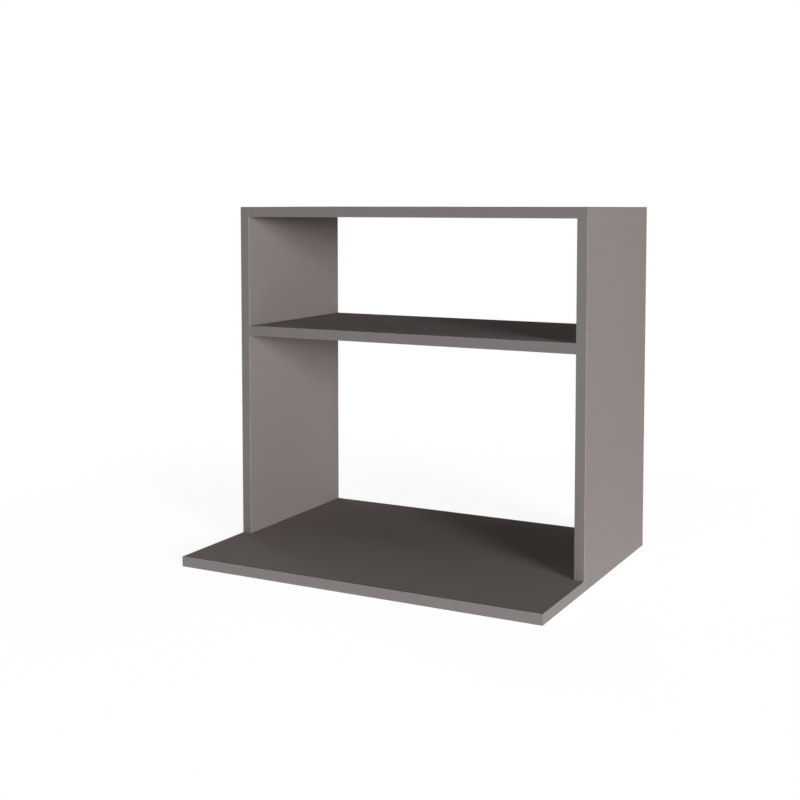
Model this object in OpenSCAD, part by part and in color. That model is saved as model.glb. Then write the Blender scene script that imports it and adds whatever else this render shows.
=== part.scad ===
// Microwave cabinet: two sides standing on a deep bottom panel, a top panel and a
// fixed shelf between the sides, open front and rear. Millimetres. X is the width,
// +Y points at the wall, Z is up. The origin is under the middle of the outline.

/* [Cabinet] */
// Width over the outer faces of the sides
cabinet_w = 600; // [300:1:900]
// Height from the underside to the top
cabinet_h = 560; // [480:1:900]
// Depth of the sides, the top panel and the shelf
carcase_d = 288; // [240:1:400]
// How far the bottom panel stands out in front of the sides
deck_overhang = 165; // [20:1:250]
// Height of the shelf's upper face above the underside
shelf_top_z = 364; // [300:1:380]
// Thickness of every finished board
board_t = 16; // [16:0.5:19]

/* [Edge bands] */
// Thickness of the edge bands
band_t = 0.8; // [0.6:0.1:2]
// Radius on the two long arrises of a band
band_arris = 0.5; // [0.2:0.1:0.6]

/* [Fitting rows] */
// From a board's front or rear edge to the nearest fitting
row_setback = 37; // [30:1:50]
// From that fitting to the dowel beside it
row_pitch = 32; // [25:1:50]

/* [Cam fittings] */
// Radius of the cam housing
cam_r = 7.4; // [7:0.05:7.4]
// Height of the cam housing
cam_h = 12.5; // [12.5:0.1:13]
// From a board's end to the cam's centre
cam_setback = 34; // [30:0.5:36]
// How far the cam's chamber lies off its centre
cam_throw = 0.8; // [0.6:0.1:0.9]
// Radius of the chamber that holds the bolt's head
chamber_r = 4.4; // [4.3:0.05:4.5]
// Sweep of the slot that the bolt's neck runs in
slot_sweep = 215; // [200:5:230]
// How far the slot runs on past the neck
slot_run_on = 35; // [30:1:40]
// Length of an arm-to-arm cross slot for the screwdriver
drive_l = 8; // [6:0.5:9]
// Width of the cross slot
drive_w = 1.6; // [1:0.1:2]
// Depth of the cross slot
drive_depth = 2.5; // [2:0.1:3]

/* [Cam bolts] */
// Radius over the thread in the side panel
bolt_thread_r = 2.9; // [2.4:0.1:3]
// Length of the thread in the side panel
bolt_thread_l = 11; // [9:0.5:12]
// Radius of the shank in the board's end
bolt_shank_r = 3.5; // [3:0.1:3.7]
// Radius of the stop collar against the side panel
bolt_collar_r = 3.9; // [3.8:0.05:4]
// Thickness of the stop collar
bolt_collar_t = 1.5; // [1:0.1:2]
// Radius of the neck inside the cam
bolt_neck_r = 2.2; // [1.8:0.1:2.2]
// Radius of the bolt's head
bolt_head_r = 3.4; // [3:0.1:3.4]
// Half the length of the bolt's head
bolt_head_half_l = 2.2; // [1.8:0.1:2.3]

/* [Dowels] */
// Radius of a dowel
dowel_r = 4; // [3:0.5:4]
// Length of a dowel
dowel_l = 30; // [25:1:35]
// How much of it stands in a board's face
dowel_seat = 10; // [8:0.5:11]
// Chamfer on its ends
dowel_chamfer = 1; // [0.5:0.1:1.5]

/* [Shelf cam caps] */
// Radius of a cap
cap_r = 8.5; // [8:0.1:9]
// Thickness of a cap
cap_t = 1; // [0.6:0.1:1.5]

/* [Bottom screws] */
// Length of a bottom screw
screw_l = 48; // [40:1:55]
// Radius of its head
screw_head_r = 5; // [4.5:0.1:5.5]
// Height of the head's straight rim
screw_rim_h = 1.2; // [0.8:0.1:1.5]
// Height of the cone under the head
screw_cone_h = 2.4; // [2:0.1:3]
// Radius of its shank
screw_shank_r = 3.5; // [3:0.1:3.6]
// Radius over its thread
screw_thread_r = 3.3; // [2.8:0.1:3.4]
// Length of the cone at its tip
screw_tip_l = 4; // [3:0.5:6]
// Width of the hexagon socket across its corners
socket_w = 4.6; // [4:0.1:5]
// Depth of the hexagon socket
socket_depth = 3; // [2:0.1:3.5]
// Radius of a cover plug
plug_r = 6; // [5.6:0.1:6.4]
// Thickness of a cover plug's disc
plug_t = 1; // [0.8:0.1:1.5]
// How far a cover plug sits inside the underside
plug_sink = 0.2; // [0:0.1:0.5]

/* [Wall hangers] */
// Height of the hanger's middle below the top of the cabinet
hanger_drop = 60; // [50:1:90]
// Length of the hanger plate
hanger_l = 52; // [48:1:60]
// Width of the hanger plate
hanger_w = 12; // [11:0.5:13]
// Thickness of the hanger plate
hanger_t = 2; // [1.5:0.1:2.5]
// Radius of the hole that a wall screw's head enters
entry_r = 4.25; // [4:0.05:4.5]
// Radius of the slot that the wall screw's neck slides up in
neck_r = 2.3; // [2:0.05:2.5]
// How far the entry hole's centre lies below the plate's middle
entry_drop = 8; // [7:0.5:9]
// How far the slot's upper centre lies above the plate's middle
neck_rise = 6; // [4:0.5:8]
// Radius of the pocket behind the plate
pocket_r = 5; // [4.6:0.1:5.2]
// Depth of the pocket behind the plate
pocket_depth = 11; // [8:1:14]
// Length of a hanger screw
hanger_screw_l = 16; // [12:1:20]
// Radius of a hanger screw's head
hanger_screw_head_r = 3; // [2.6:0.1:3.2]
// Radius of a hanger screw's thread
hanger_screw_r = 1.5; // [1.3:0.1:1.8]

/* [Clearances] */
// Around a cam in its bore
cam_clear = 0.1; // [0.05:0.05:0.2]
// Under the tip of anything in a blind hole
end_clear = 0.3; // [0.2:0.1:0.5]
// Around a screw or a bolt's thread
thread_clear = 0.1; // [0.05:0.05:0.2]
// Around a dowel
dowel_clear = 0.1; // [0.05:0.05:0.2]
// Around the parts let into a recess
recess_clear = 0.15; // [0.1:0.05:0.3]
// Around the bolt's neck and head inside the cam
slip_clear = 0.3; // [0.2:0.05:0.4]

/* [Hidden] */
round_fn = 40;
arris_fn = 24;
hex_fn = 6;
cut = 1;
inner_w = cabinet_w - 2 * board_t;
cabinet_d = carcase_d + deck_overhang;
back_y = cabinet_d / 2;
front_y = back_y - carcase_d;
deck_front_y = -back_y;
mid_y = (front_y + back_y) / 2;
side_x = (cabinet_w - board_t) / 2;
top_mid_z = cabinet_h - board_t / 2;
shelf_mid_z = shelf_top_z - board_t / 2;
hanger_z = cabinet_h - hanger_drop;
hanger_screw_rise = (hanger_l - hanger_w) / 2;
bolt_ys = [front_y + row_setback, back_y - row_setback];
dowel_ys = [front_y + row_setback + row_pitch, back_y - row_setback - row_pitch];
screw_ys = [front_y + row_setback, mid_y, back_y - row_setback];
screw_seat_z = plug_sink + plug_t;
chamber_h = 2 * (bolt_head_r + slip_clear);
slot_h = 2 * (bolt_neck_r + slip_clear);
mouth_r = bolt_head_r + slip_clear;
cam_floor_z = board_t / 2 - cam_h;
bolt_shank_end = cam_setback - cam_r - end_clear;

SHELL = [0.51, 0.48, 0.46];
BAND = [0.47, 0.44, 0.42];
ZINC = [0.66, 0.67, 0.68];
STEEL = [0.74, 0.74, 0.73];
BEECH = [0.76, 0.62, 0.45];
CAP = [0.36, 0.34, 0.33];

// ---- placing ----

// Both ends of a board between the sides: local +X runs into the board from its end,
// local Z = 0 is the middle of its thickness, and the cams open at local +Z.
module at_board_ends(ys, mid_z, turned) {
    for (end = [-1, 1])
        for (y = ys)
            translate([end * inner_w / 2, y, mid_z])
                rotate([turned ? 180 : 0, 0, end > 0 ? 180 : 0])
                    children();
}

// The rows where the bottom panel is fixed to the undersides of the sides.
module at_side_feet(ys) {
    for (end = [-1, 1])
        for (y = ys)
            translate([end * side_x, y, 0])
                children();
}

module on_left() {
    mirror([1, 0, 0])
        children();
}

// The right side's rear edge at the hanger: local XY is that edge's face and local
// +Z runs into the board.
module at_right_hanger() {
    translate([side_x, back_y, hanger_z])
        rotate([90, 0, 0])
            children();
}

// ---- cam fittings ----

module cam_bore() {
    translate([cam_setback, 0, cam_floor_z - end_clear])
        cylinder(h = cam_h + end_clear + cut, r = cam_r + cam_clear, $fn = round_fn);
}

// The bore for the bolt's shank, from the board's end into the cam's bore.
module shank_bore() {
    translate([-cut, 0, 0])
        rotate([0, 90, 0])
            cylinder(h = cut + cam_setback, r = bolt_collar_r + thread_clear, $fn = round_fn);
}

// The blind hole for the bolt's thread in the side's inner face.
module thread_bore() {
    translate([-bolt_thread_l - end_clear, 0, 0])
        rotate([0, 90, 0])
            cylinder(h = bolt_thread_l + end_clear + cut, r = bolt_thread_r + thread_clear,
                $fn = round_fn);
}

module cross(length, width, height) {
    translate([0, 0, height / 2])
        for (turn = [0, 90])
            rotate([0, 0, turn])
                cube([length, width, height], center = true);
}

// The housing, turned to locked: the mouth for the bolt's head looks away from the
// side, and the off-centre chamber has drawn the head in behind its thick wall.
module cam_housing() {
    translate([cam_setback, 0, 0])
        difference() {
            translate([0, 0, cam_floor_z])
                cylinder(h = cam_h, r = cam_r, $fn = round_fn);
            translate([0, 0, board_t / 2 - drive_depth])
                cross(drive_l, drive_w, drive_depth + cut);
            translate([cam_throw, 0, -chamber_h / 2])
                cylinder(h = chamber_h, r = chamber_r, $fn = round_fn);
            translate([0, 0, -slot_h / 2])
                rotate_extrude(angle = slot_sweep, start = 180 - slot_run_on, $fn = round_fn)
                    square([cam_r + cut, slot_h]);
            rotate([0, 90, 0])
                cylinder(h = cam_r + cut, r = mouth_r, $fn = round_fn);
        }
}

// Thread in the side, collar, shank in the board's end, neck and head in the cam.
module cam_bolt() {
    neck_end = cam_setback - bolt_head_half_l;
    head_end = cam_setback + bolt_head_half_l;
    bevel = bolt_head_r - bolt_neck_r;
    rotate([0, 90, 0])
        rotate_extrude($fn = round_fn)
            polygon([
                [0, -bolt_thread_l],
                [bolt_thread_r - bevel, -bolt_thread_l],
                [bolt_thread_r, -bolt_thread_l + bevel],
                [bolt_thread_r, 0],
                [bolt_collar_r, 0],
                [bolt_collar_r, bolt_collar_t],
                [bolt_shank_r, bolt_collar_t],
                [bolt_shank_r, bolt_shank_end],
                [bolt_neck_r, bolt_shank_end],
                [bolt_neck_r, neck_end],
                [bolt_head_r, neck_end + bevel],
                [bolt_head_r, head_end - bevel],
                [bolt_neck_r, head_end],
                [0, head_end]
            ]);
}

// A cap over the cam, held by a cross that presses into the cam's slot.
module cam_cap() {
    translate([cam_setback, 0, board_t / 2]) {
        cylinder(h = cap_t, r = cap_r, $fn = round_fn);
        translate([0, 0, end_clear - drive_depth])
            cross(drive_l - 2 * slip_clear, drive_w - 2 * cam_clear, drive_depth);
    }
}

// ---- dowels ----

// A dowel along +Z that stands dowel_seat deep below local Z = 0.
module dowel() {
    translate([0, 0, -dowel_seat])
        rotate_extrude($fn = round_fn)
            polygon([
                [0, 0],
                [dowel_r - dowel_chamfer, 0],
                [dowel_r, dowel_chamfer],
                [dowel_r, dowel_l - dowel_chamfer],
                [dowel_r - dowel_chamfer, dowel_l],
                [0, dowel_l]
            ]);
}

// The hole for a dowel, blind at both ends.
module dowel_bore() {
    translate([0, 0, -dowel_seat - end_clear])
        cylinder(h = dowel_l + 2 * end_clear, r = dowel_r + dowel_clear, $fn = round_fn);
}

module lying() {
    rotate([0, 90, 0])
        children();
}

// ---- bottom screws ----

// The screw's turned outline, grown by a clearance for its hole.
module screw_solid(grow) {
    tip_z = screw_seat_z + screw_l;
    cone_z = screw_seat_z + screw_rim_h;
    shank_z = cone_z + screw_cone_h;
    rotate_extrude($fn = round_fn)
        polygon([
            [0, screw_seat_z],
            [screw_head_r + grow, screw_seat_z],
            [screw_head_r + grow, cone_z + grow],
            [screw_shank_r + grow, shank_z + grow],
            [screw_shank_r + grow, board_t],
            [screw_thread_r + grow, board_t + end_clear],
            [screw_thread_r + grow, tip_z - screw_tip_l],
            [0, tip_z + grow]
        ]);
}

module bottom_screw() {
    difference() {
        screw_solid(0);
        translate([0, 0, screw_seat_z - cut])
            cylinder(h = cut + socket_depth, d = socket_w, $fn = hex_fn);
    }
}

module bottom_screw_hole() {
    screw_solid(thread_clear);
    translate([0, 0, -cut])
        cylinder(h = cut + screw_seat_z, r = plug_r + recess_clear, $fn = round_fn);
}

module screw_plug() {
    translate([0, 0, plug_sink])
        cylinder(h = plug_t, r = plug_r, $fn = round_fn);
    translate([0, 0, plug_sink + plug_t / 2])
        cylinder(h = plug_t / 2 + socket_depth - end_clear, d = socket_w - 2 * recess_clear,
            $fn = hex_fn);
}

// ---- wall hangers ----

// A slot outline with round ends, from one centre to another along local Y.
module slot_outline(low, high, radius) {
    translate([-radius, low])
        square([2 * radius, high - low]);
    for (y = [low, high])
        translate([0, y])
            circle(r = radius, $fn = round_fn);
}

// The turned outline of a hanger screw along +Z, grown by a clearance for its hole.
module hanger_screw_solid(grow) {
    cone_h = hanger_screw_head_r - hanger_screw_r;
    rotate_extrude($fn = round_fn)
        polygon([
            [0, 0],
            [hanger_screw_head_r + grow, 0],
            [hanger_screw_r + grow, cone_h],
            [hanger_screw_r + grow, hanger_screw_l - 2 * hanger_screw_r],
            [0, hanger_screw_l + grow]
        ]);
}

module at_hanger_screws() {
    for (y = [-hanger_screw_rise, hanger_screw_rise])
        translate([0, y, 0])
            children();
}

// The keyhole plate: a round entry for the wall screw's head under a narrow slot.
module hanger_plate() {
    difference() {
        linear_extrude(hanger_t)
            difference() {
                slot_outline(-hanger_screw_rise, hanger_screw_rise, hanger_w / 2);
                translate([0, -entry_drop])
                    circle(r = entry_r, $fn = round_fn);
                slot_outline(-entry_drop, neck_rise, neck_r);
            }
        at_hanger_screws()
            hanger_screw_solid(thread_clear);
    }
}

// Everything that is routed and drilled in the side's rear edge for the plate.
module hanger_recess() {
    translate([0, 0, -cut])
        linear_extrude(cut + hanger_t)
            slot_outline(-hanger_screw_rise, hanger_screw_rise, hanger_w / 2 + recess_clear);
    linear_extrude(hanger_t + pocket_depth)
        slot_outline(-entry_drop, neck_rise, pocket_r);
    at_hanger_screws()
        hanger_screw_solid(thread_clear);
}

// ---- boards ----

module right_side() {
    difference() {
        translate([inner_w / 2, front_y + band_t, board_t])
            cube([board_t, carcase_d - 2 * band_t, cabinet_h - board_t - band_t]);
        at_board_ends(bolt_ys, top_mid_z, false)
            thread_bore();
        at_board_ends(bolt_ys, shelf_mid_z, true)
            thread_bore();
        at_board_ends(dowel_ys, top_mid_z, false)
            lying()
                dowel_bore();
        at_board_ends(dowel_ys, shelf_mid_z, true)
            lying()
                dowel_bore();
        at_side_feet(screw_ys)
            bottom_screw_hole();
        at_side_feet(dowel_ys)
            translate([0, 0, board_t])
                dowel_bore();
        at_right_hanger()
            hanger_recess();
    }
}

// A board between the sides, drilled from its ends and from its cam face.
module drilled_board(mid_z, turned) {
    difference() {
        translate([-inner_w / 2, front_y + band_t, mid_z - board_t / 2])
            cube([inner_w, carcase_d - 2 * band_t, board_t]);
        at_board_ends(bolt_ys, mid_z, turned) {
            cam_bore();
            shank_bore();
        }
        at_board_ends(dowel_ys, mid_z, turned)
            lying()
                dowel_bore();
    }
}

module left_side_panel() {
    color(SHELL)
        on_left()
            right_side();
}

module right_side_panel() {
    color(SHELL)
        right_side();
}

module top_panel() {
    color(SHELL)
        drilled_board(top_mid_z, false);
}

module shelf_panel() {
    color(SHELL)
        drilled_board(shelf_mid_z, true);
}

module bottom_panel() {
    color(SHELL)
        difference() {
            translate([band_t - cabinet_w / 2, deck_front_y + band_t, 0])
                cube([cabinet_w - 2 * band_t, cabinet_d - 2 * band_t, board_t]);
            at_side_feet(screw_ys)
                bottom_screw_hole();
            at_side_feet(dowel_ys)
                translate([0, 0, board_t])
                    dowel_bore();
        }
}

// ---- edge bands ----

// A band's section: local X across the board's edge, local Y outwards from it.
module band_section() {
    translate([-board_t / 2, 0])
        square([board_t, band_t - band_arris]);
    translate([band_arris - board_t / 2, 0])
        square([board_t - 2 * band_arris, band_t]);
    for (end = [-1, 1])
        translate([end * (board_t / 2 - band_arris), band_t - band_arris])
            intersection() {
                circle(r = band_arris, $fn = arris_fn);
                translate([-board_t / 2, 0])
                    square([board_t, band_t]);
            }
}

// A band lying along X on a front edge, whose outer face looks to -Y.
module front_band(length, mid_z, face_y) {
    translate([-length / 2, face_y + band_t, mid_z])
        rotate([0, -90, 180])
            linear_extrude(length)
                band_section();
}

// A band lying along X on a rear edge, whose outer face looks to +Y.
module rear_band(length, mid_z) {
    mirror([0, 1, 0])
        front_band(length, mid_z, -back_y);
}

// A standing band on the right side's front edge, whose outer face looks to -Y.
module side_front_band() {
    translate([side_x, front_y + band_t, board_t])
        rotate([0, 0, 180])
            linear_extrude(cabinet_h - board_t)
                band_section();
}

// A standing band on the right side's rear edge, cut out around the hanger plate.
module side_rear_band() {
    difference() {
        translate([side_x, back_y - band_t, board_t])
            linear_extrude(cabinet_h - board_t)
                band_section();
        at_right_hanger()
            hanger_recess();
    }
}

// The band on the right side's top edge, between its front and rear bands.
module side_top_band() {
    translate([side_x, back_y - band_t, cabinet_h - band_t])
        rotate([90, 0, 0])
            linear_extrude(carcase_d - 2 * band_t)
                band_section();
}

// The band on the bottom panel's right edge, between its front and rear bands.
module deck_end_band() {
    translate([cabinet_w / 2 - band_t, deck_front_y + band_t, board_t / 2])
        rotate([-90, -90, 0])
            linear_extrude(cabinet_d - 2 * band_t)
                band_section();
}

module left_side_front_band() {
    color(BAND)
        on_left()
            side_front_band();
}

module left_side_rear_band() {
    color(BAND)
        on_left()
            side_rear_band();
}

module left_side_top_band() {
    color(BAND)
        on_left()
            side_top_band();
}

module right_side_front_band() {
    color(BAND)
        side_front_band();
}

module right_side_rear_band() {
    color(BAND)
        side_rear_band();
}

module right_side_top_band() {
    color(BAND)
        side_top_band();
}

module top_panel_front_band() {
    color(BAND)
        front_band(inner_w, top_mid_z, front_y);
}

module top_panel_rear_band() {
    color(BAND)
        rear_band(inner_w, top_mid_z);
}

module shelf_front_band() {
    color(BAND)
        front_band(inner_w, shelf_mid_z, front_y);
}

module shelf_rear_band() {
    color(BAND)
        rear_band(inner_w, shelf_mid_z);
}

module bottom_front_band() {
    color(BAND)
        front_band(cabinet_w, board_t / 2, deck_front_y);
}

module bottom_rear_band() {
    color(BAND)
        rear_band(cabinet_w, board_t / 2);
}

module bottom_left_band() {
    color(BAND)
        on_left()
            deck_end_band();
}

module bottom_right_band() {
    color(BAND)
        deck_end_band();
}

// ---- fittings ----

module top_cam_housings() {
    color(ZINC)
        at_board_ends(bolt_ys, top_mid_z, false)
            cam_housing();
}

module top_cam_bolts() {
    color(STEEL)
        at_board_ends(bolt_ys, top_mid_z, false)
            cam_bolt();
}

module top_dowels() {
    color(BEECH)
        at_board_ends(dowel_ys, top_mid_z, false)
            lying()
                dowel();
}

module shelf_cam_housings() {
    color(ZINC)
        at_board_ends(bolt_ys, shelf_mid_z, true)
            cam_housing();
}

module shelf_cam_bolts() {
    color(STEEL)
        at_board_ends(bolt_ys, shelf_mid_z, true)
            cam_bolt();
}

module shelf_dowels() {
    color(BEECH)
        at_board_ends(dowel_ys, shelf_mid_z, true)
            lying()
                dowel();
}

module shelf_cam_caps() {
    color(CAP)
        at_board_ends(bolt_ys, shelf_mid_z, true)
            cam_cap();
}

module bottom_screws() {
    color(STEEL)
        at_side_feet(screw_ys)
            bottom_screw();
}

module bottom_screw_plugs() {
    color(CAP)
        at_side_feet(screw_ys)
            screw_plug();
}

module bottom_dowels() {
    color(BEECH)
        at_side_feet(dowel_ys)
            translate([0, 0, board_t])
                dowel();
}

module right_hanger() {
    at_right_hanger()
        hanger_plate();
}

module right_hanger_screw_pair() {
    at_right_hanger()
        at_hanger_screws()
            hanger_screw_solid(0);
}

module left_hanger_plate() {
    color(STEEL)
        on_left()
            right_hanger();
}

module right_hanger_plate() {
    color(STEEL)
        right_hanger();
}

module left_hanger_screws() {
    color(STEEL)
        on_left()
            right_hanger_screw_pair();
}

module right_hanger_screws() {
    color(STEEL)
        right_hanger_screw_pair();
}

left_side_panel();
right_side_panel();
top_panel();
shelf_panel();
bottom_panel();
left_side_front_band();
left_side_rear_band();
left_side_top_band();
right_side_front_band();
right_side_rear_band();
right_side_top_band();
top_panel_front_band();
top_panel_rear_band();
shelf_front_band();
shelf_rear_band();
bottom_front_band();
bottom_rear_band();
bottom_left_band();
bottom_right_band();
top_cam_housings();
top_cam_bolts();
top_dowels();
shelf_cam_housings();
shelf_cam_bolts();
shelf_dowels();
shelf_cam_caps();
bottom_screws();
bottom_screw_plugs();
bottom_dowels();
left_hanger_plate();
right_hanger_plate();
left_hanger_screws();
right_hanger_screws();
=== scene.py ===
"""The finished look of a microwave cabinet: boards, edge bands, fittings and studio.

Everything is in metres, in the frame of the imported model: X is the width, +Y points at the
wall, Z is up and the floor lies at Z = 0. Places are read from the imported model.
"""

import logging
import math
from collections.abc import Callable, Iterable, Sequence
from dataclasses import dataclass
from enum import Enum

import bmesh
import bpy
from mathutils import Matrix, Vector


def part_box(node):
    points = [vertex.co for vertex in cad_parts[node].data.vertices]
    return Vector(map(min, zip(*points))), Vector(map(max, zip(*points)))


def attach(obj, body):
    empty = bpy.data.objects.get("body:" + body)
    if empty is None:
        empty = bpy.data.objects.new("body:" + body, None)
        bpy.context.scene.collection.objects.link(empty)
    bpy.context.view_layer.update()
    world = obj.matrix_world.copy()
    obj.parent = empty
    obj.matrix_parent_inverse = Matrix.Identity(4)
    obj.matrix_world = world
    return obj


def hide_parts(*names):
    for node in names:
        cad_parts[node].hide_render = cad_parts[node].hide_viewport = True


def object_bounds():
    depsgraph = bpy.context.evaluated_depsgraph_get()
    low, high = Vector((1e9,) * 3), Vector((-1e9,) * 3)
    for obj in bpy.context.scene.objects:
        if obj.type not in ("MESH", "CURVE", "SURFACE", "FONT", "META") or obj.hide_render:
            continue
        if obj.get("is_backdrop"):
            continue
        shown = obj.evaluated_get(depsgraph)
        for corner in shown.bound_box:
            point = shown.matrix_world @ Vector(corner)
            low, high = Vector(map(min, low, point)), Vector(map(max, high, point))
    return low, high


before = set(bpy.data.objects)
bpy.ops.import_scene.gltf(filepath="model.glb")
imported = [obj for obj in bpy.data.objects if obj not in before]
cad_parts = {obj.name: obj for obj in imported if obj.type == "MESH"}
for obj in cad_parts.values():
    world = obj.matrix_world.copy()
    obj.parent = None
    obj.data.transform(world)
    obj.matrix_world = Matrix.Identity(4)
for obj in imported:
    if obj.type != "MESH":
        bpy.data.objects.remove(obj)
CAD_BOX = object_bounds()
LOG = logging.getLogger("cabinet")

Point = tuple[float, float]
Colour = tuple[float, float, float]
Socket = bpy.types.NodeSocket
Sockets = bpy.types.bpy_prop_collection
Relief = Callable[[float, float], float]
WearAndHighlightRule = Callable[[Vector], float]

QUARTER_TURN = math.pi / 2
SHARP_ANGLE = math.radians(32)
ROUND_SIDES = 48
# How far a cutting tool reaches out past the face that it is let into.
REACH = 0.001
# Corners closer than this are one corner after a cut.
SEAM = 0.000002
CROSS_TAPER = 0.72
# Cosine and sine of the four quarter turns.
QUARTERS = ((1, 0), (0, 1), (-1, 0), (0, -1))
HEXAGON_SIDES = 6


# ---- stock and tools ----


class Join(Enum):
    """How one solid is worked into another."""

    CUT = "DIFFERENCE"
    WELD = "UNION"


def smooth_step(value: float) -> float:
    """Eases a value from 0 to 1 and holds it there outside that range."""
    share = min(max(value, 0.0), 1.0)
    return share * share * (3 - 2 * share)


def arc(centre: Point, radius: float, start: float, end: float, steps: int) -> list[Point]:
    """Lays points along an arc.

    Args:
        centre: Middle of the arc.
        radius: Its radius.
        start: Angle of its first point, in radians.
        end: Angle of its last point, in radians.
        steps: How many straight steps it takes.

    Returns:
        The points, with both ends.
    """
    turns = [start + (end - start) * i / steps for i in range(steps + 1)]
    return [(centre[0] + radius * math.cos(a), centre[1] + radius * math.sin(a)) for a in turns]


def slot_outline(low: float, high: float, radius: float, steps: int = 20) -> list[Point]:
    """Draws a slot with round ends, standing along local Y.

    Args:
        low: Y of the lower end's centre.
        high: Y of the upper end's centre.
        radius: Half the slot's width.
        steps: Straight steps in each round end.

    Returns:
        The outline, anticlockwise.
    """
    upper = arc((0.0, high), radius, 0.0, math.pi, steps)
    lower = arc((0.0, low), radius, math.pi, 2 * math.pi, steps)
    return upper + lower


class Solid:
    """A closed mesh that is turned, cut, joined and placed like stock on a bench."""

    def __init__(self) -> None:
        """Starts with no mesh on the bench."""
        self.mesh = bmesh.new()

    @classmethod
    def block(cls, low: Vector, high: Vector, arris: float) -> "Solid":
        """Planes a rectangular block.

        Args:
            low: Its lowest corner.
            high: Its highest corner.
            arris: Width of the chamfer on every edge.

        Returns:
            The block.
        """
        solid = cls()
        place = Matrix.Translation((low + high) / 2) @ Matrix.Diagonal((*(high - low), 1.0))
        bmesh.ops.create_cube(solid.mesh, size=1.0, matrix=place)
        bmesh.ops.bevel(solid.mesh, geom=solid.mesh.edges[:], offset=arris, offset_type="OFFSET",
                        segments=1, profile=0.5, affect="EDGES")
        return solid

    @classmethod
    def loft(cls, rings: Sequence[Sequence[Vector]]) -> "Solid":
        """Skins a stack of closed rings and closes its two ends.

        Args:
            rings: Rings with one number of points each, from one end to the other.

        Returns:
            The skinned solid.
        """
        solid = cls()
        rows = [[solid.mesh.verts.new(point) for point in ring] for ring in rings]
        for lower, upper in zip(rows, rows[1:]):
            for i, corner in enumerate(lower):
                j = (i + 1) % len(lower)
                solid.mesh.faces.new((corner, lower[j], upper[j], upper[i]))
        solid.mesh.faces.new(rows[0][::-1])
        solid.mesh.faces.new(rows[-1])
        bmesh.ops.recalc_face_normals(solid.mesh, faces=solid.mesh.faces[:])
        return solid

    @classmethod
    def prism(cls, outline: Sequence[Point], low: float, high: float) -> "Solid":
        """Stands an outline up between two heights along local Z."""
        return cls.loft([[Vector((x, y, z)) for x, y in outline] for z in (low, high)])

    @classmethod
    def turned(cls, profile: Sequence[Point], relief: Relief | None = None,
               sides: int = ROUND_SIDES) -> "Solid":
        """Turns a profile about local Z.

        Args:
            profile: Radius and height of each row, from one end to the other.
            relief: How far the surface stands out at an angle and a height.
            sides: How many sides a full turn has.

        Returns:
            The turned solid.
        """
        angles = [2 * math.pi * i / sides for i in range(sides)]
        rings = []
        for radius, height in profile:
            grown = [radius + (relief(a, height) if relief else 0.0) for a in angles]
            rings.append([Vector((r * math.cos(a), r * math.sin(a), height))
                          for r, a in zip(grown, angles)])
        return cls.loft(rings)

    def placed(self, place: Matrix) -> "Solid":
        """Gives a copy of this solid moved by a matrix.

        Args:
            place: The matrix.

        Returns:
            The moved copy.
        """
        copy = Solid()
        copy.mesh = self.mesh.copy()
        copy.mesh.transform(place)
        return copy

    def repeated(self, places: Iterable[Matrix]) -> "Solid":
        """Gathers one copy of this solid at each place.

        Args:
            places: Where the copies go.

        Returns:
            All the copies as separate shells of one solid.
        """
        gathered = Solid()
        for place in places:
            shell = bpy.data.meshes.new("shell")
            self.placed(place).mesh.to_mesh(shell)
            gathered.mesh.from_mesh(shell)
            bpy.data.meshes.remove(shell)
        return gathered

    def on_bench(self) -> bpy.types.Object:
        """Lays the mesh out as a scratch object.

        Returns:
            The object, which worked() clears away.
        """
        scratch = bpy.data.objects.new("scratch", bpy.data.meshes.new("scratch"))
        self.mesh.to_mesh(scratch.data)
        bpy.context.scene.collection.objects.link(scratch)
        return scratch

    def worked(self, join: Join, *tools: "Solid") -> "Solid":
        """Cuts tools out of this solid, or welds them to it.

        Args:
            join: Whether to cut or to weld.
            tools: The solids that are worked in, one after the other.

        Returns:
            This solid, changed.
        """
        for tool in tools:
            body, other = self.on_bench(), tool.on_bench()
            step = body.modifiers.new("join", "BOOLEAN")
            step.object, step.operation, step.solver = other, join.value, "EXACT"
            result = bmesh.new()
            result.from_object(body, bpy.context.evaluated_depsgraph_get())
            for scratch in (body, other):
                mesh = scratch.data
                bpy.data.objects.remove(scratch)
                bpy.data.meshes.remove(mesh)
            self.mesh.free()
            self.mesh = result
        bmesh.ops.remove_doubles(self.mesh, verts=self.mesh.verts, dist=SEAM)
        bmesh.ops.dissolve_degenerate(self.mesh, edges=self.mesh.edges, dist=SEAM)
        return self

    def cut(self, *tools: "Solid") -> "Solid":
        """Cuts tools out of this solid."""
        return self.worked(Join.CUT, *tools)

    def piece(self, name: str, finishes: Sequence[bpy.types.Material],
              wear: WearAndHighlightRule | None = None) -> bpy.types.Object:
        """Turns the solid into a finished piece in the scene.

        Args:
            name: The piece's name.
            finishes: Its materials, in the order of its faces' material numbers.
            wear: How strongly a point's arris mark shows, from 0 to 1: handling wear, and on the
                edge bands also a painted highlight.

        Returns:
            The new object.
        """
        if wear:
            layer = self.mesh.verts.layers.float.new("arris")
            for vertex in self.mesh.verts:
                vertex[layer] = wear(vertex.co)
        for face in self.mesh.faces:
            face.smooth = True
        data = bpy.data.meshes.new(name)
        self.mesh.to_mesh(data)
        data.set_sharp_from_angle(angle=SHARP_ANGLE)
        for finish in finishes:
            data.materials.append(finish)
        made = bpy.data.objects.new(name, data)
        bpy.context.scene.collection.objects.link(made)
        even = made.modifiers.new("even_shading", "WEIGHTED_NORMAL")
        even.keep_sharp = True
        return made


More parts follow.
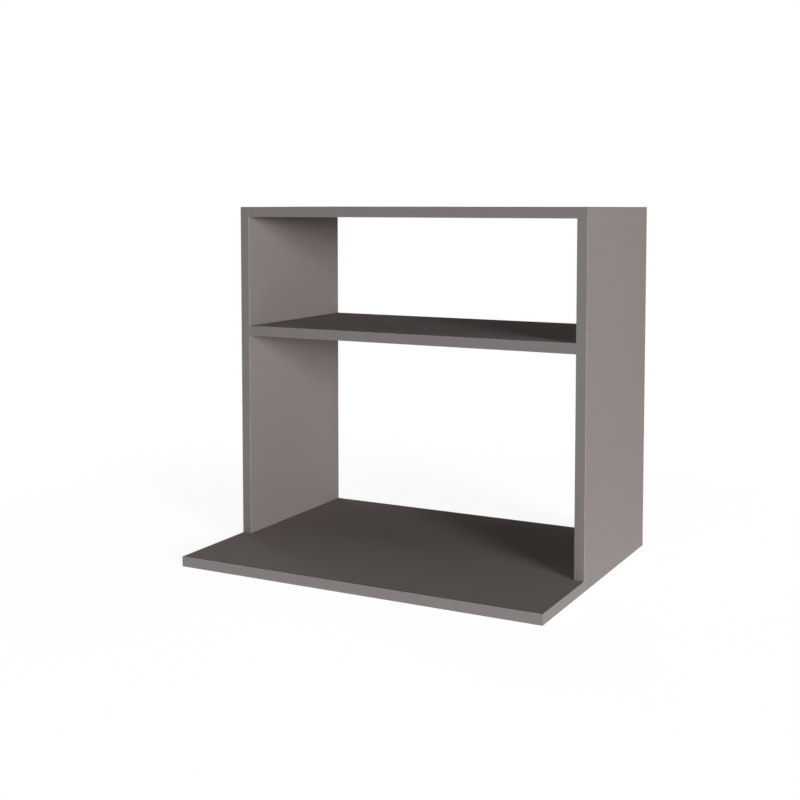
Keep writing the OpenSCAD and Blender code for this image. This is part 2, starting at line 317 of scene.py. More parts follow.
@dataclass(frozen=True)
class Thread:
    """A screw thread that is rolled onto a turned core."""

    start: float
    end: float
    rise: float
    pitch: float
    flank: float = 0.36
    crest: float = 0.2
    rows_per_turn: int = 10

    def stations(self) -> list[float]:
        """Gives the heights of the rows that the thread needs."""
        rows = max(2, round((self.end - self.start) / self.pitch * self.rows_per_turn))
        return [self.start + (self.end - self.start) * i / rows for i in range(rows + 1)]

    def relief(self, angle: float, height: float) -> float:
        """Works out how far the ridge stands out.

        Args:
            angle: Angle round the screw, in radians.
            height: Height along the screw.

        Returns:
            The ridge's rise, which runs out at both ends of the thread.
        """
        phase = (height / self.pitch - angle / (2 * math.pi)) % 1.0
        ridge = min(1.0, max(0.0, 1 - abs(phase - 0.5) / self.flank) / (1 - self.crest))
        run_in = smooth_step((height - self.start) / self.pitch)
        run_out = smooth_step((self.end - height) / self.pitch)
        return self.rise * ridge * run_in * run_out


@dataclass(frozen=True)
class Cross:
    """A screwdriver's cross that is sunk into a face from above."""

    arm: float
    width: float
    depth: float

    def tool(self, face: float) -> Solid:
        """Makes the tapered punch of a cross.

        Args:
            face: Height of the face that it is sunk into.

        Returns:
            The punch, which reaches out past the face.
        """
        rings = []
        for height in (face - self.depth, face + REACH):
            share = 1.0 + (1.0 - CROSS_TAPER) * (height - face) / self.depth
            far, near = self.arm / 2 * share, self.width / 2 * share
            quarter = [(far, -near), (far, near), (near, near)]
            rings.append([Vector((x * c - y * s, x * s + y * c, height))
                          for c, s in QUARTERS for x, y in quarter])
        return Solid.loft(rings)


def bore_tool(radius: float, low: float, high: float, flare: float) -> Solid:
    """Makes a drill that cuts a round hole with a broken edge along local Z.

    Args:
        radius: Radius of the hole.
        low: Height of its floor.
        high: Height of the face that it opens in.
        flare: Width of the broken edge at its mouth.

    Returns:
        The drill's cutting body, which reaches out past the face.
    """
    return Solid.turned([(radius, low), (radius, high - flare),
                         (radius + flare + REACH, high + REACH)])


# ---- places ----


@dataclass(frozen=True)
class FittingSizes:
    """Sizes that the fittings and their holes share."""

    cam_radius: float = 0.0074
    cam_height: float = 0.0125
    cam_setback: float = 0.034
    cam_clear: float = 0.0001
    collar_radius: float = 0.0039
    thread_radius: float = 0.0029
    thread_length: float = 0.011
    thread_clear: float = 0.0001
    end_clear: float = 0.0003
    dowel_radius: float = 0.004
    dowel_length: float = 0.030
    dowel_seat: float = 0.010
    dowel_clear: float = 0.0001
    screw_head_radius: float = 0.005
    screw_shank_radius: float = 0.0035
    screw_thread_radius: float = 0.0033
    screw_length: float = 0.048
    screw_rim: float = 0.0012
    screw_tip: float = 0.004
    plug_radius: float = 0.006
    recess_clear: float = 0.00015
    hanger_pocket_radius: float = 0.005
    hanger_pocket_depth: float = 0.011
    hanger_entry_drop: float = 0.008
    hanger_neck_rise: float = 0.006
    hanger_screw_radius: float = 0.0015
    hanger_screw_length: float = 0.016


@dataclass(frozen=True)
class Places:
    """Where the fittings stand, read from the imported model."""

    sizes: FittingSizes
    board: float
    inner_x: float
    side_x: float
    back_y: float
    top_z: float
    shelf_z: float
    hanger_z: float
    hanger_rise: float
    bolt_ys: tuple[float, ...]
    dowel_ys: tuple[float, ...]
    screw_ys: tuple[float, ...]

    @classmethod
    def from_model(cls, sizes: FittingSizes) -> "Places":
        """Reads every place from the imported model's boxes.

        Args:
            sizes: Sizes of the fittings, which turn a box into centre lines.

        Returns:
            The places.
        """
        top_low, top_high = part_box("top_panel")
        shelf_low, shelf_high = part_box("shelf_panel")
        plate_low, plate_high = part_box("right_hanger_plate")
        bolt_low, bolt_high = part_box("top_cam_bolts")
        dowel_low, dowel_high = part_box("top_dowels")
        screw_low, screw_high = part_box("bottom_screws")
        head = sizes.screw_head_radius
        plate_width = plate_high.x - plate_low.x
        return cls(
            sizes=sizes,
            board=top_high.z - top_low.z,
            inner_x=top_high.x,
            side_x=(plate_low.x + plate_high.x) / 2,
            back_y=plate_high.y,
            top_z=(top_low.z + top_high.z) / 2,
            shelf_z=(shelf_low.z + shelf_high.z) / 2,
            hanger_z=(plate_low.z + plate_high.z) / 2,
            hanger_rise=(plate_high.z - plate_low.z - plate_width) / 2,
            bolt_ys=(bolt_low.y + sizes.collar_radius, bolt_high.y - sizes.collar_radius),
            dowel_ys=(dowel_low.y + sizes.dowel_radius, dowel_high.y - sizes.dowel_radius),
            screw_ys=(screw_low.y + head, (screw_low.y + screw_high.y) / 2, screw_high.y - head),
        )

    def board_ends(self, rows: Sequence[float], height: float, down: bool) -> list[Matrix]:
        """Places for fittings at both ends of a board between the sides.

        Args:
            rows: Their places along Y.
            height: Middle of the board's thickness.
            down: Whether the fittings open downwards.

        Returns:
            Matrices whose local +X runs into the board from its end.
        """
        made = []
        for end in (-1, 1):
            turn = Matrix.Rotation(math.pi if end > 0 else 0.0, 4, "Z")
            flip = Matrix.Rotation(math.pi if down else 0.0, 4, "X")
            for y in rows:
                made.append(Matrix.Translation((end * self.inner_x, y, height)) @ turn @ flip)
        return made

    def both_boards(self, rows: Sequence[float]) -> list[Matrix]:
        """Places at the ends of the top panel and of the shelf."""
        return (self.board_ends(rows, self.top_z, False)
                + self.board_ends(rows, self.shelf_z, True))

    def side_feet(self, rows: Sequence[float], height: float) -> list[Matrix]:
        """Places under the feet of both sides, at a height."""
        return [Matrix.Translation((end * self.side_x, y, height)) for end in (-1, 1) for y in rows]

    def hanger(self, end: int) -> Matrix:
        """Place of a hanger: local XY is the side's rear edge, local +Z runs into it."""
        middle = Matrix.Translation((end * self.side_x, self.back_y, self.hanger_z))
        return middle @ Matrix.Rotation(QUARTER_TURN, 4, "X")

    def hanger_screws(self, end: int) -> list[Matrix]:
        """Places of the two screws of one hanger."""
        return [self.hanger(end) @ Matrix.Translation((0.0, rise, 0.0))
                for rise in (-self.hanger_rise, self.hanger_rise)]


def lying(places: Iterable[Matrix]) -> list[Matrix]:
    """Turns each place so that local Z runs along the board."""
    return [place @ Matrix.Rotation(QUARTER_TURN, 4, "Y") for place in places]


# ---- shader wiring ----


class Wiring:
    """Adds and joins the nodes of one node tree."""

    # Numbers of a Mix node's colour sockets.
    MIX_FIRST, MIX_SECOND, MIX_RESULT = 6, 7, 2

    def __init__(self, tree: bpy.types.NodeTree) -> None:
        """Takes the tree that the nodes go into."""
        self.tree = tree

    def node(self, kind: str, inputs: dict[str | int, object] | None = None,
             **settings: object) -> bpy.types.Node:
        """Adds a node.

        Args:
            kind: Its type.
            inputs: Plain values or sockets for its inputs, by name or number.
            settings: Its own properties.

        Returns:
            The new node.
        """
        made = self.tree.nodes.new(kind)
        for name, value in settings.items():
            setattr(made, name, value)
        for key, value in (inputs or {}).items():
            if isinstance(value, Socket):
                self.tree.links.new(value, made.inputs[key])
            else:
                made.inputs[key].default_value = value
        return made

    def math(self, operation: str, first: object, second: object = 0.0) -> Socket:
        """Works out one sum of two values."""
        return self.node("ShaderNodeMath", {0: first, 1: second}, operation=operation).outputs[0]

    def ranged(self, value: Socket, low: float, high: float, to_low: object,
               to_high: object) -> Socket:
        """Maps a value from one range to another, held at its ends.

        Args:
            value: The value.
            low: Start of its own range.
            high: End of its own range.
            to_low: What it becomes at the start.
            to_high: What it becomes at the end.

        Returns:
            The mapped value.
        """
        inputs = {"Value": value, "From Min": low, "From Max": high,
                  "To Min": to_low, "To Max": to_high}
        return self.node("ShaderNodeMapRange", inputs).outputs[0]

    def layered(self, first: Socket, second: Socket, share: float) -> Socket:
        """Adds two values up, the second one by its share of the total."""
        return self.math("ADD", self.math("MULTIPLY", first, 1 - share),
                         self.math("MULTIPLY", second, share))

    def swing(self, value: Socket, middle: float, amount: Socket) -> Socket:
        """Lets a value swing to both sides of zero by an amount."""
        return self.math("MULTIPLY", self.math("SUBTRACT", value, middle), amount)

    def blend(self, share: object, first: object, second: object) -> Socket:
        """Mixes two colours by a share."""
        inputs = {0: share, self.MIX_FIRST: first, self.MIX_SECOND: second}
        return self.node("ShaderNodeMix", inputs, data_type="RGBA").outputs[self.MIX_RESULT]

    def spot(self, stretch: object = (1.0, 1.0, 1.0)) -> Socket:
        """Gives the point on the object, stretched along its axes.

        Args:
            stretch: How much each axis is multiplied.

        Returns:
            The stretched point.
        """
        where = self.node("ShaderNodeTexCoord").outputs["Object"]
        return self.node("ShaderNodeVectorMath", {0: where, 1: stretch},
                         operation="MULTIPLY").outputs[0]

    def to_eye(self) -> Socket:
        """Finds the rays that come from the camera, a reflection or clear glass.

        Returns:
            1 for such a ray and 0 for any other.
        """
        path = self.node("ShaderNodeLightPath").outputs
        bent = self.math("MAXIMUM", path["Is Glossy Ray"], path["Is Transmission Ray"])
        return self.math("MAXIMUM", path["Is Camera Ray"], bent)

    def noise(self, where: Socket, scale: object, detail: float = 2.0) -> Socket:
        """Gives soft noise with a scale in features per metre."""
        inputs = {"Vector": where, "Scale": scale, "Detail": detail}
        return self.node("ShaderNodeTexNoise", inputs).outputs[0]


class Effect(Enum):
    """Surface effects that several finishes share, each with one node group."""

    FINE_RELIEF = "fine_relief"
    TONE_DRIFT = "tone_drift"
    GLOSS_PATCHES = "gloss_patches"
    EDGE_WEAR = "edge_wear"
    STREAKS = "streaks"
    SETTLED_DUST = "settled_dust"


MaskRule = Callable[[Wiring, Sockets], Socket]


class Effects:
    """The node groups of the shared effects, built once."""

    KINDS = {"colour": "NodeSocketColor", "value": "NodeSocketFloat", "vector": "NodeSocketVector"}
    EVEN = 0.5
    FINER_SCALE, FINER_SHARE = 3.1, 0.35
    QUICK_SCALE, QUICK_SHARE = 17.0, 0.3
    PATCH_DETAIL = 4.0
    BREAK_DETAIL = 3.0
    BREAK_RANGE = (0.35, 0.65, 0.35, 1.0)
    LINE_DETAIL = 4.0
    LINE_RANGE = (0.4, 0.62, 0.0, 1.0)
    FLECK_DETAIL = 5.0
    FLECK_RANGE = (0.45, 0.75, 0.0, 1.0)
    LEVEL_RANGE = (0.5, 1.0, 0.0, 1.0)

    def __init__(self) -> None:
        """Builds every group."""
        self.groups: dict[Effect, bpy.types.NodeTree] = {}
        self.fine_relief()
        self.tone_drift()
        self.gloss_patches()
        self.cover(Effect.EDGE_WEAR, self.arris_wear_and_highlight)
        self.cover(Effect.STREAKS, self.long_lines, {"Stretch": "vector"})
        self.cover(Effect.SETTLED_DUST, self.dust_flecks)

    def opened(self, effect: Effect, inputs: dict[str, str],
               outputs: dict[str, str]) -> tuple[Wiring, Sockets, Sockets]:
        """Opens the group of an effect with its sockets.

        Args:
            effect: The effect.
            inputs: Kind of each input by name.
            outputs: Kind of each output by name.

        Returns:
            The group's wiring, what it is given and what it puts out.
        """
        tree = self.groups[effect] = bpy.data.node_groups.new(effect.value, "ShaderNodeTree")
        for direction, sockets in (("INPUT", inputs), ("OUTPUT", outputs)):
            for label, kind in sockets.items():
                tree.interface.new_socket(name=label, in_out=direction,
                                          socket_type=self.KINDS[kind])
        wire = Wiring(tree)
        return wire, wire.node("NodeGroupInput").outputs, wire.node("NodeGroupOutput").inputs

    def fine_relief(self) -> None:
        """Builds a fine two-layer relief, such as the grain of a pressed or moulded face."""
        wire, given, made = self.opened(Effect.FINE_RELIEF, {"Scale": "value", "Stretch": "vector"},
                                        {"Height": "value"})
        where = wire.spot(given["Stretch"])
        broad = wire.noise(where, given["Scale"])
        fine = wire.noise(where, wire.math("MULTIPLY", given["Scale"], self.FINER_SCALE))
        wire.tree.links.new(wire.layered(broad, fine, self.FINER_SHARE), made["Height"])

    def tone_drift(self) -> None:
        """Builds a slow drift of a colour's lightness over a face."""
        wire, given, made = self.opened(
            Effect.TONE_DRIFT, {"Colour": "colour", "Amount": "value", "Scale": "value"},
            {"Colour": "colour"})
        where = wire.spot()
        slow = wire.noise(where, given["Scale"])
        quick = wire.noise(where, wire.math("MULTIPLY", given["Scale"], self.QUICK_SCALE))
        both = wire.layered(slow, quick, self.QUICK_SHARE)
        level = wire.math("ADD", wire.swing(both, self.EVEN, given["Amount"]), 1.0)
        toned = wire.node("ShaderNodeVectorMath", {0: given["Colour"], "Scale": level},
                          operation="SCALE").outputs[0]
        wire.tree.links.new(toned, made["Colour"])

    def gloss_patches(self) -> None:
        """Builds a roughness that wanders a little over a face."""
        wire, given, made = self.opened(
            Effect.GLOSS_PATCHES, {"Roughness": "value", "Spread": "value", "Scale": "value"},
            {"Roughness": "value"})
        patch = wire.noise(wire.spot(), given["Scale"], self.PATCH_DETAIL)
        swing = wire.swing(patch, self.EVEN, given["Spread"])
        wire.tree.links.new(wire.math("ADD", swing, given["Roughness"]), made["Roughness"])

    def cover(self, effect: Effect, mask_of: MaskRule, more: dict[str, str] | None = None) -> None:
        """Builds an effect that lays a second colour over the first one by a mask.

        Args:
            effect: The effect.
            mask_of: Works out the mask at its full strength.
            more: Kind of each further input by name.
        """
        inputs = {"Colour": "colour", "Cover Colour": "colour", "Amount": "value", "Scale": "value"}
        wire, given, made = self.opened(effect, inputs | (more or {}),
                                        {"Colour": "colour", "Mask": "value"})
        mask = wire.math("MULTIPLY", mask_of(wire, given), given["Amount"])
        covered = wire.blend(mask, given["Colour"], given["Cover Colour"])
        wire.tree.links.new(covered, made["Colour"])
        wire.tree.links.new(mask, made["Mask"])

    def arris_wear_and_highlight(self, wire: Wiring, given: Sockets) -> Socket:
        """Finds the broken line on an arris: wear from trimming and handling, and on the edge bands
        also a painted highlight.

        Args:
            wire: The group's wiring.
            given: What the group is given.

        Returns:
            The mask.
        """
        exposed = wire.node("ShaderNodeAttribute", attribute_name="arris").outputs["Fac"]
        noise = wire.noise(wire.spot(), given["Scale"], self.BREAK_DETAIL)
        return wire.math("MULTIPLY", exposed, wire.ranged(noise, *self.BREAK_RANGE))

    def long_lines(self, wire: Wiring, given: Sockets) -> Socket:
        """Finds long thin lines, such as wood grain or the marks of a drawn wire.

        Args:
            wire: The group's wiring.
            given: What the group is given.

        Returns:
            The mask.
        """
        lines = wire.noise(wire.spot(given["Stretch"]), given["Scale"], self.LINE_DETAIL)
        return wire.ranged(lines, *self.LINE_RANGE)

    def dust_flecks(self, wire: Wiring, given: Sockets) -> Socket:
        """Finds the flecks of dust that settle on faces that look up.

        Args:
            wire: The group's wiring.
            given: What the group is given.

        Returns:
            The mask.
        """
        normal = wire.node("ShaderNodeNewGeometry").outputs["Normal"]
        up = wire.node("ShaderNodeSeparateXYZ", {0: normal}).outputs["Z"]
        level = wire.ranged(up, *self.LEVEL_RANGE)
        noise = wire.noise(wire.spot(), given["Scale"], self.FLECK_DETAIL)
        return wire.math("MULTIPLY", level, wire.ranged(noise, *self.FLECK_RANGE))

    def placed(self, wire: Wiring, effect: Effect,
               inputs: dict[str | int, object]) -> bpy.types.Node:
        """Places an effect in a material.

        Args:
            wire: The material's wiring.
            effect: Which effect it is.
            inputs: The effect's own values here.

        Returns:
            The group's node.
        """
        return wire.node("ShaderNodeGroup", inputs, node_tree=self.groups[effect])


# ---- finishes ----


def opaque(colour: Colour) -> tuple[float, float, float, float]:
    """Adds a full alpha to a colour."""
    return (*colour, 1.0)


def begun(name: str,
          sockets: dict[str, float]) -> tuple[bpy.types.Material, Wiring, bpy.types.Node]:
    """Begins a material on one surface shader.

    Args:
        name: The material's name.
        sockets: Values that are the same all over the surface.

    Returns:
        The material, its wiring and its surface shader.
    """
    material = bpy.data.materials.new(name)
    material.use_nodes = True
    surface = material.node_tree.nodes["Principled BSDF"]
    for socket, value in sockets.items():
        surface.inputs[socket].default_value = value
    return material, Wiring(material.node_tree), surface


@dataclass(frozen=True)
class Drift:
    """How far a value wanders over a surface, and with how many features per metre."""

    amount: float
    scale: float


@dataclass(frozen=True)
class Grain:
    """A fine relief, with its features per metre, depth, strength and stretch."""

    scale: float
    depth: float
    strength: float = 0.5
    stretch: Colour = (1.0, 1.0, 1.0)


class Mix:
    """A material that is being mixed from the shared effects."""

    def __init__(self, effects: Effects, name: str, sockets: dict[str, float]) -> None:
        """Begins the material.

        Args:
            effects: The shared effects.
            name: The material's name.
            sockets: Values that are the same all over the surface.
        """
        self.effects = effects
        self.material, self.wire, self.surface = begun(name, sockets)

    def feed(self, socket: str, value: Socket) -> None:
        """Feeds a value into the surface shader."""
        self.wire.tree.links.new(value, self.surface.inputs[socket])

    def toned(self, colour: object, drift: Drift) -> Socket:
        """Lets a colour drift in lightness."""
        return self.effects.placed(self.wire, Effect.TONE_DRIFT, {
            "Colour": colour, "Amount": drift.amount, "Scale": drift.scale}).outputs["Colour"]

    def covered(self, effect: Effect, colour: Socket, cover: Colour, drift: Drift,
                stretch: Colour | None = None) -> tuple[Socket, Socket]:
        """Lays a second colour over a colour by the mask of an effect.

        Args:
            effect: The effect.
            colour: The colour underneath.
            cover: The colour that is laid over it.
            drift: How strong and how fine the mask is.
            stretch: For lines, how much shorter they are along each axis; below 1 is longer.

        Returns:
            The covered colour and the mask.
        """
        more = {"Stretch": stretch} if stretch else {}
        outputs = self.effects.placed(self.wire, effect, {
            "Colour": colour, "Cover Colour": opaque(cover), "Amount": drift.amount,
            "Scale": drift.scale, **more}).outputs
        return outputs["Colour"], outputs["Mask"]

    def glossed(self, roughness: float, drift: Drift) -> None:
        """Gives the surface a roughness that wanders a little.

        Args:
            roughness: Its middle value.
            drift: How far and how finely it wanders.
        """
        self.feed("Roughness", self.effects.placed(self.wire, Effect.GLOSS_PATCHES, {
            "Roughness": roughness, "Spread": drift.amount,
            "Scale": drift.scale}).outputs["Roughness"])

    def embossed(self, height: Socket, depth: float, strength: float, sunk: bool = False) -> None:
        """Presses a height into the surface.

        Args:
            height: The height, from 0 to 1.
            depth: The relief's full depth.
            strength: How strongly it shows.
            sunk: Whether a greater height is sunk instead of raised.
        """
        bump = self.wire.node("ShaderNodeBump", {
            "Strength": strength, "Distance": depth, "Height": height}, invert=sunk)
        self.feed("Normal", bump.outputs["Normal"])

    def grained(self, grain: Grain) -> None:
        """Presses a fine grain into the surface.

        Args:
            grain: The grain.
        """
        relief = self.effects.placed(self.wire, Effect.FINE_RELIEF, {
            "Scale": grain.scale, "Stretch": grain.stretch})
        self.embossed(relief.outputs["Height"], grain.depth, grain.strength)


@dataclass(frozen=True, kw_only=True)
class Finish:
    """What every finish has: a drifting tone, a wandering gloss and, on most, a fine grain."""

    name: str
    colour: Colour
    roughness: float
    tone: Drift
    gloss: Drift
    specular: float = 0.5
    metallic: float = 0.0
    grain: Grain | None = None

    def ground(self, mix: Mix) -> object:
        """Gives the colour that the tone drifts over."""
        return opaque(self.colour)

    def covered(self, mix: Mix, toned: Socket) -> Socket:
        """Leaves the toned colour bare; a finish that something lies on covers it."""
        return toned

    def material(self, effects: Effects) -> bpy.types.Material:
        """Builds the finish from its ground up.

        Args:
            effects: The shared effects.

        Returns:
            The material.
        """
        mix = Mix(effects, self.name,
                  {"Metallic": self.metallic, "Specular IOR Level": self.specular})
        toned = mix.toned(self.ground(mix), self.tone)
        mix.feed("Base Color", self.covered(mix, toned))
        mix.glossed(self.roughness, self.gloss)
        if self.grain:
            mix.grained(self.grain)
        return mix.material


@dataclass(frozen=True, kw_only=True)
class Paper(Finish):
    """Printed paper that is pressed onto a board's faces, with a little dust on it."""

    dust: Colour
    dusting: Drift

    def covered(self, mix: Mix, toned: Socket) -> Socket:
        """Lets dust settle on the print."""
        return mix.covered(Effect.SETTLED_DUST, toned, self.dust, self.dusting)[0]


@dataclass(frozen=True, kw_only=True)
class Plastic(Finish):
    """Plastic that is rubbed or scraped paler on its arrises, which on the edge bands also carry a
    painted highlight.
    """

    rubbed_and_highlight: Colour
    wear: Drift

    def covered(self, mix: Mix, toned: Socket) -> Socket:
        """Rubs the arrises, and on the edge bands also paints a highlight on them."""
        return mix.covered(Effect.EDGE_WEAR, toned, self.rubbed_and_highlight, self.wear)[0]


@dataclass(frozen=True, kw_only=True)
class Metal(Finish):
    """A plated or cast metal with fine lines and rubbed edges."""

    streak: Colour
    rubbed_and_highlight: Colour
    metallic: float = 1.0
    tone: Drift = Drift(0.25, 120.0)
    lines: Drift = Drift(0.5, 900.0)
    wear: Drift = Drift(0.8, 400.0)

    def covered(self, mix: Mix, toned: Socket) -> Socket:
        """Draws the lines and rubs the edges.

        Args:
            mix: The material that is being mixed.
            toned: The metal's toned colour.

        Returns:
            The lined and rubbed colour.
        """
        lined, _ = mix.covered(Effect.STREAKS, toned, self.streak, self.lines, self.grain.stretch)
        return mix.covered(Effect.EDGE_WEAR, lined, self.rubbed_and_highlight, self.wear)[0]


@dataclass(frozen=True, kw_only=True)
class Beech(Finish):
    """Turned beech with short dark flecks along its grain."""

    stretch: Colour
    colour: Colour = (0.60, 0.41, 0.23)
    fleck: Colour = (0.33, 0.18, 0.08)
    roughness: float = 0.62
    specular: float = 0.3
    tone: Drift = Drift(0.25, 60.0)
    flecks: Drift = Drift(0.55, 1500.0)
    fleck_depth: float = 0.00008
    fleck_strength: float = 0.6
    gloss: Drift = Drift(0.2, 300.0)

    def covered(self, mix: Mix, toned: Socket) -> Socket:
        """Flecks the wood along its length.

        Args:
            mix: The material that is being mixed.
            toned: The wood's toned colour.

        Returns:
            The flecked colour.
        """
        flecked, mask = mix.covered(Effect.STREAKS, toned, self.fleck, self.flecks, self.stretch)
        mix.embossed(mask, self.fleck_depth, self.fleck_strength)
        return flecked


@dataclass(frozen=True, kw_only=True)
class Chipboard(Finish):
    """Raw chipboard where a board is cut or drilled."""

    dark: Colour
    chip_scale: float
    chip_stretch: Colour
    chip_shades: float
    gap_start: float
    gap_end: float
    gap_shade: float
    gap_depth: float

    def ground(self, mix: Mix) -> Socket:
        """Packs chips of several shades, with dark glue lines sunk between them.

        Args:
            mix: The material that is being mixed.

        Returns:
            The chips' colour.
        """
        wire = mix.wire
        chips = wire.node("ShaderNodeTexVoronoi", {
            "Vector": wire.spot(self.chip_stretch), "Scale": self.chip_scale})
        shade = wire.node("ShaderNodeSeparateXYZ", {0: chips.outputs["Color"]}).outputs["X"]
        gap = wire.ranged(chips.outputs["Distance"], self.gap_start, self.gap_end, 0.0,
                          self.gap_shade)
        mix.embossed(gap, self.gap_depth, self.gap_shade, sunk=True)
        share = wire.math("MAXIMUM", gap, wire.math("MULTIPLY", shade, self.chip_shades))
        return wire.blend(share, opaque(self.colour), opaque(self.dark))


MELAMINE = Paper(
    name="matt_melamine", colour=(0.245, 0.214, 0.203), dust=(0.42, 0.40, 0.38),
    roughness=0.85, specular=0.03, tone=Drift(0.10, 2.2), dusting=Drift(0.03, 260.0),
    gloss=Drift(0.10, 14.0), grain=Grain(800.0, 0.0004))
# The band's pale arris line is partly scraped plastic and partly a painted highlight.
EDGE_BAND_PLASTIC = Plastic(
    name="edge_band_plastic", colour=(0.229, 0.212, 0.206), rubbed_and_highlight=(0.50, 0.48, 0.465),
    roughness=0.7, specular=0.05, tone=Drift(0.08, 5.0), wear=Drift(0.9, 90.0),
    gloss=Drift(0.10, 40.0), grain=Grain(1100.0, 0.0002))
CAP_PLASTIC = Plastic(
    name="moulded_cap_plastic", colour=(0.17, 0.15, 0.145), rubbed_and_highlight=(0.28, 0.26, 0.25),
    roughness=0.5, specular=0.4, tone=Drift(0.12, 50.0), wear=Drift(0.6, 300.0),
    gloss=Drift(0.15, 200.0), grain=Grain(2600.0, 0.00012, 0.6))
RAW_CHIPBOARD = Chipboard(
    name="raw_chipboard", colour=(0.50, 0.36, 0.22), dark=(0.20, 0.12, 0.06),
    roughness=0.85, specular=0.2, tone=Drift(0.3, 60.0), gloss=Drift(0.15, 300.0),
    chip_scale=700.0, chip_stretch=(1.0, 1.0, 1.8), chip_shades=0.5,
    gap_start=0.35, gap_end=0.8, gap_shade=0.8, gap_depth=0.0003)
CAST_ZINC = Metal(
    name="cast_zinc", colour=(0.34, 0.35, 0.36), streak=(0.26, 0.27, 0.28),
    rubbed_and_highlight=(0.55, 0.55, 0.56), roughness=0.5, gloss=Drift(0.2, 350.0),
    grain=Grain(2200.0, 0.0001))
PLATED_STEEL = Metal(
    name="plated_steel", colour=(0.52, 0.52, 0.51), streak=(0.36, 0.36, 0.35),
    rubbed_and_highlight=(0.78, 0.78, 0.77), roughness=0.3, gloss=Drift(0.16, 350.0),
    grain=Grain(2200.0, 0.00004, stretch=(1.0, 1.0, 0.08)))
LYING_BEECH = Beech(name="lying_beech", stretch=(0.07, 1.0, 1.0))
STANDING_BEECH = Beech(name="standing_beech", stretch=(1.0, 1.0, 0.07))


class FinishShelf:
    """Every finish of the cabinet, mixed once."""

    def __init__(self, effects: Effects) -> None:
        """Mixes each finish.

        Args:
            effects: The shared effects.
        """
        self.melamine = MELAMINE.material(effects)
        self.band = EDGE_BAND_PLASTIC.material(effects)
        self.chipboard = RAW_CHIPBOARD.material(effects)
        self.zinc = CAST_ZINC.material(effects)
        self.steel = PLATED_STEEL.material(effects)
        self.lying_beech = LYING_BEECH.material(effects)
        self.standing_beech = STANDING_BEECH.material(effects)
        self.plastic = CAP_PLASTIC.material(effects)


class Slot(Enum):
    """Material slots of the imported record."""

    BOARD = "board"
    EDGE_BAND = "edge_band"
    ZINC = "zinc"
    STEEL = "plated_steel"
    DOWEL = "dowel_wood"
    CAP = "cap_plastic"


def fitted(solid: Solid, name: str, node: str, slot: Slot, *finishes: bpy.types.Material,
           wear: WearAndHighlightRule | None = None) -> None:
    """Finishes a solid and fits it in place of its node.

    Args:
        solid: The solid.
        name: The finished piece's name.
        node: The node that it stands for.
        slot: The record's slot that its finish comes from; not used.
        finishes: Its materials, in the order of its faces' material numbers.
        wear: How strongly a point's arris mark shows, from 0 to 1: handling wear, and on the edge
            bands also a painted highlight.
    """
    piece = solid.piece(name, finishes, wear)
    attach(piece, "root")
    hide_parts(node)
    LOG.info("%s stands for %s with %d faces", piece.name, node, len(piece.data.polygons))


# ---- boards ----


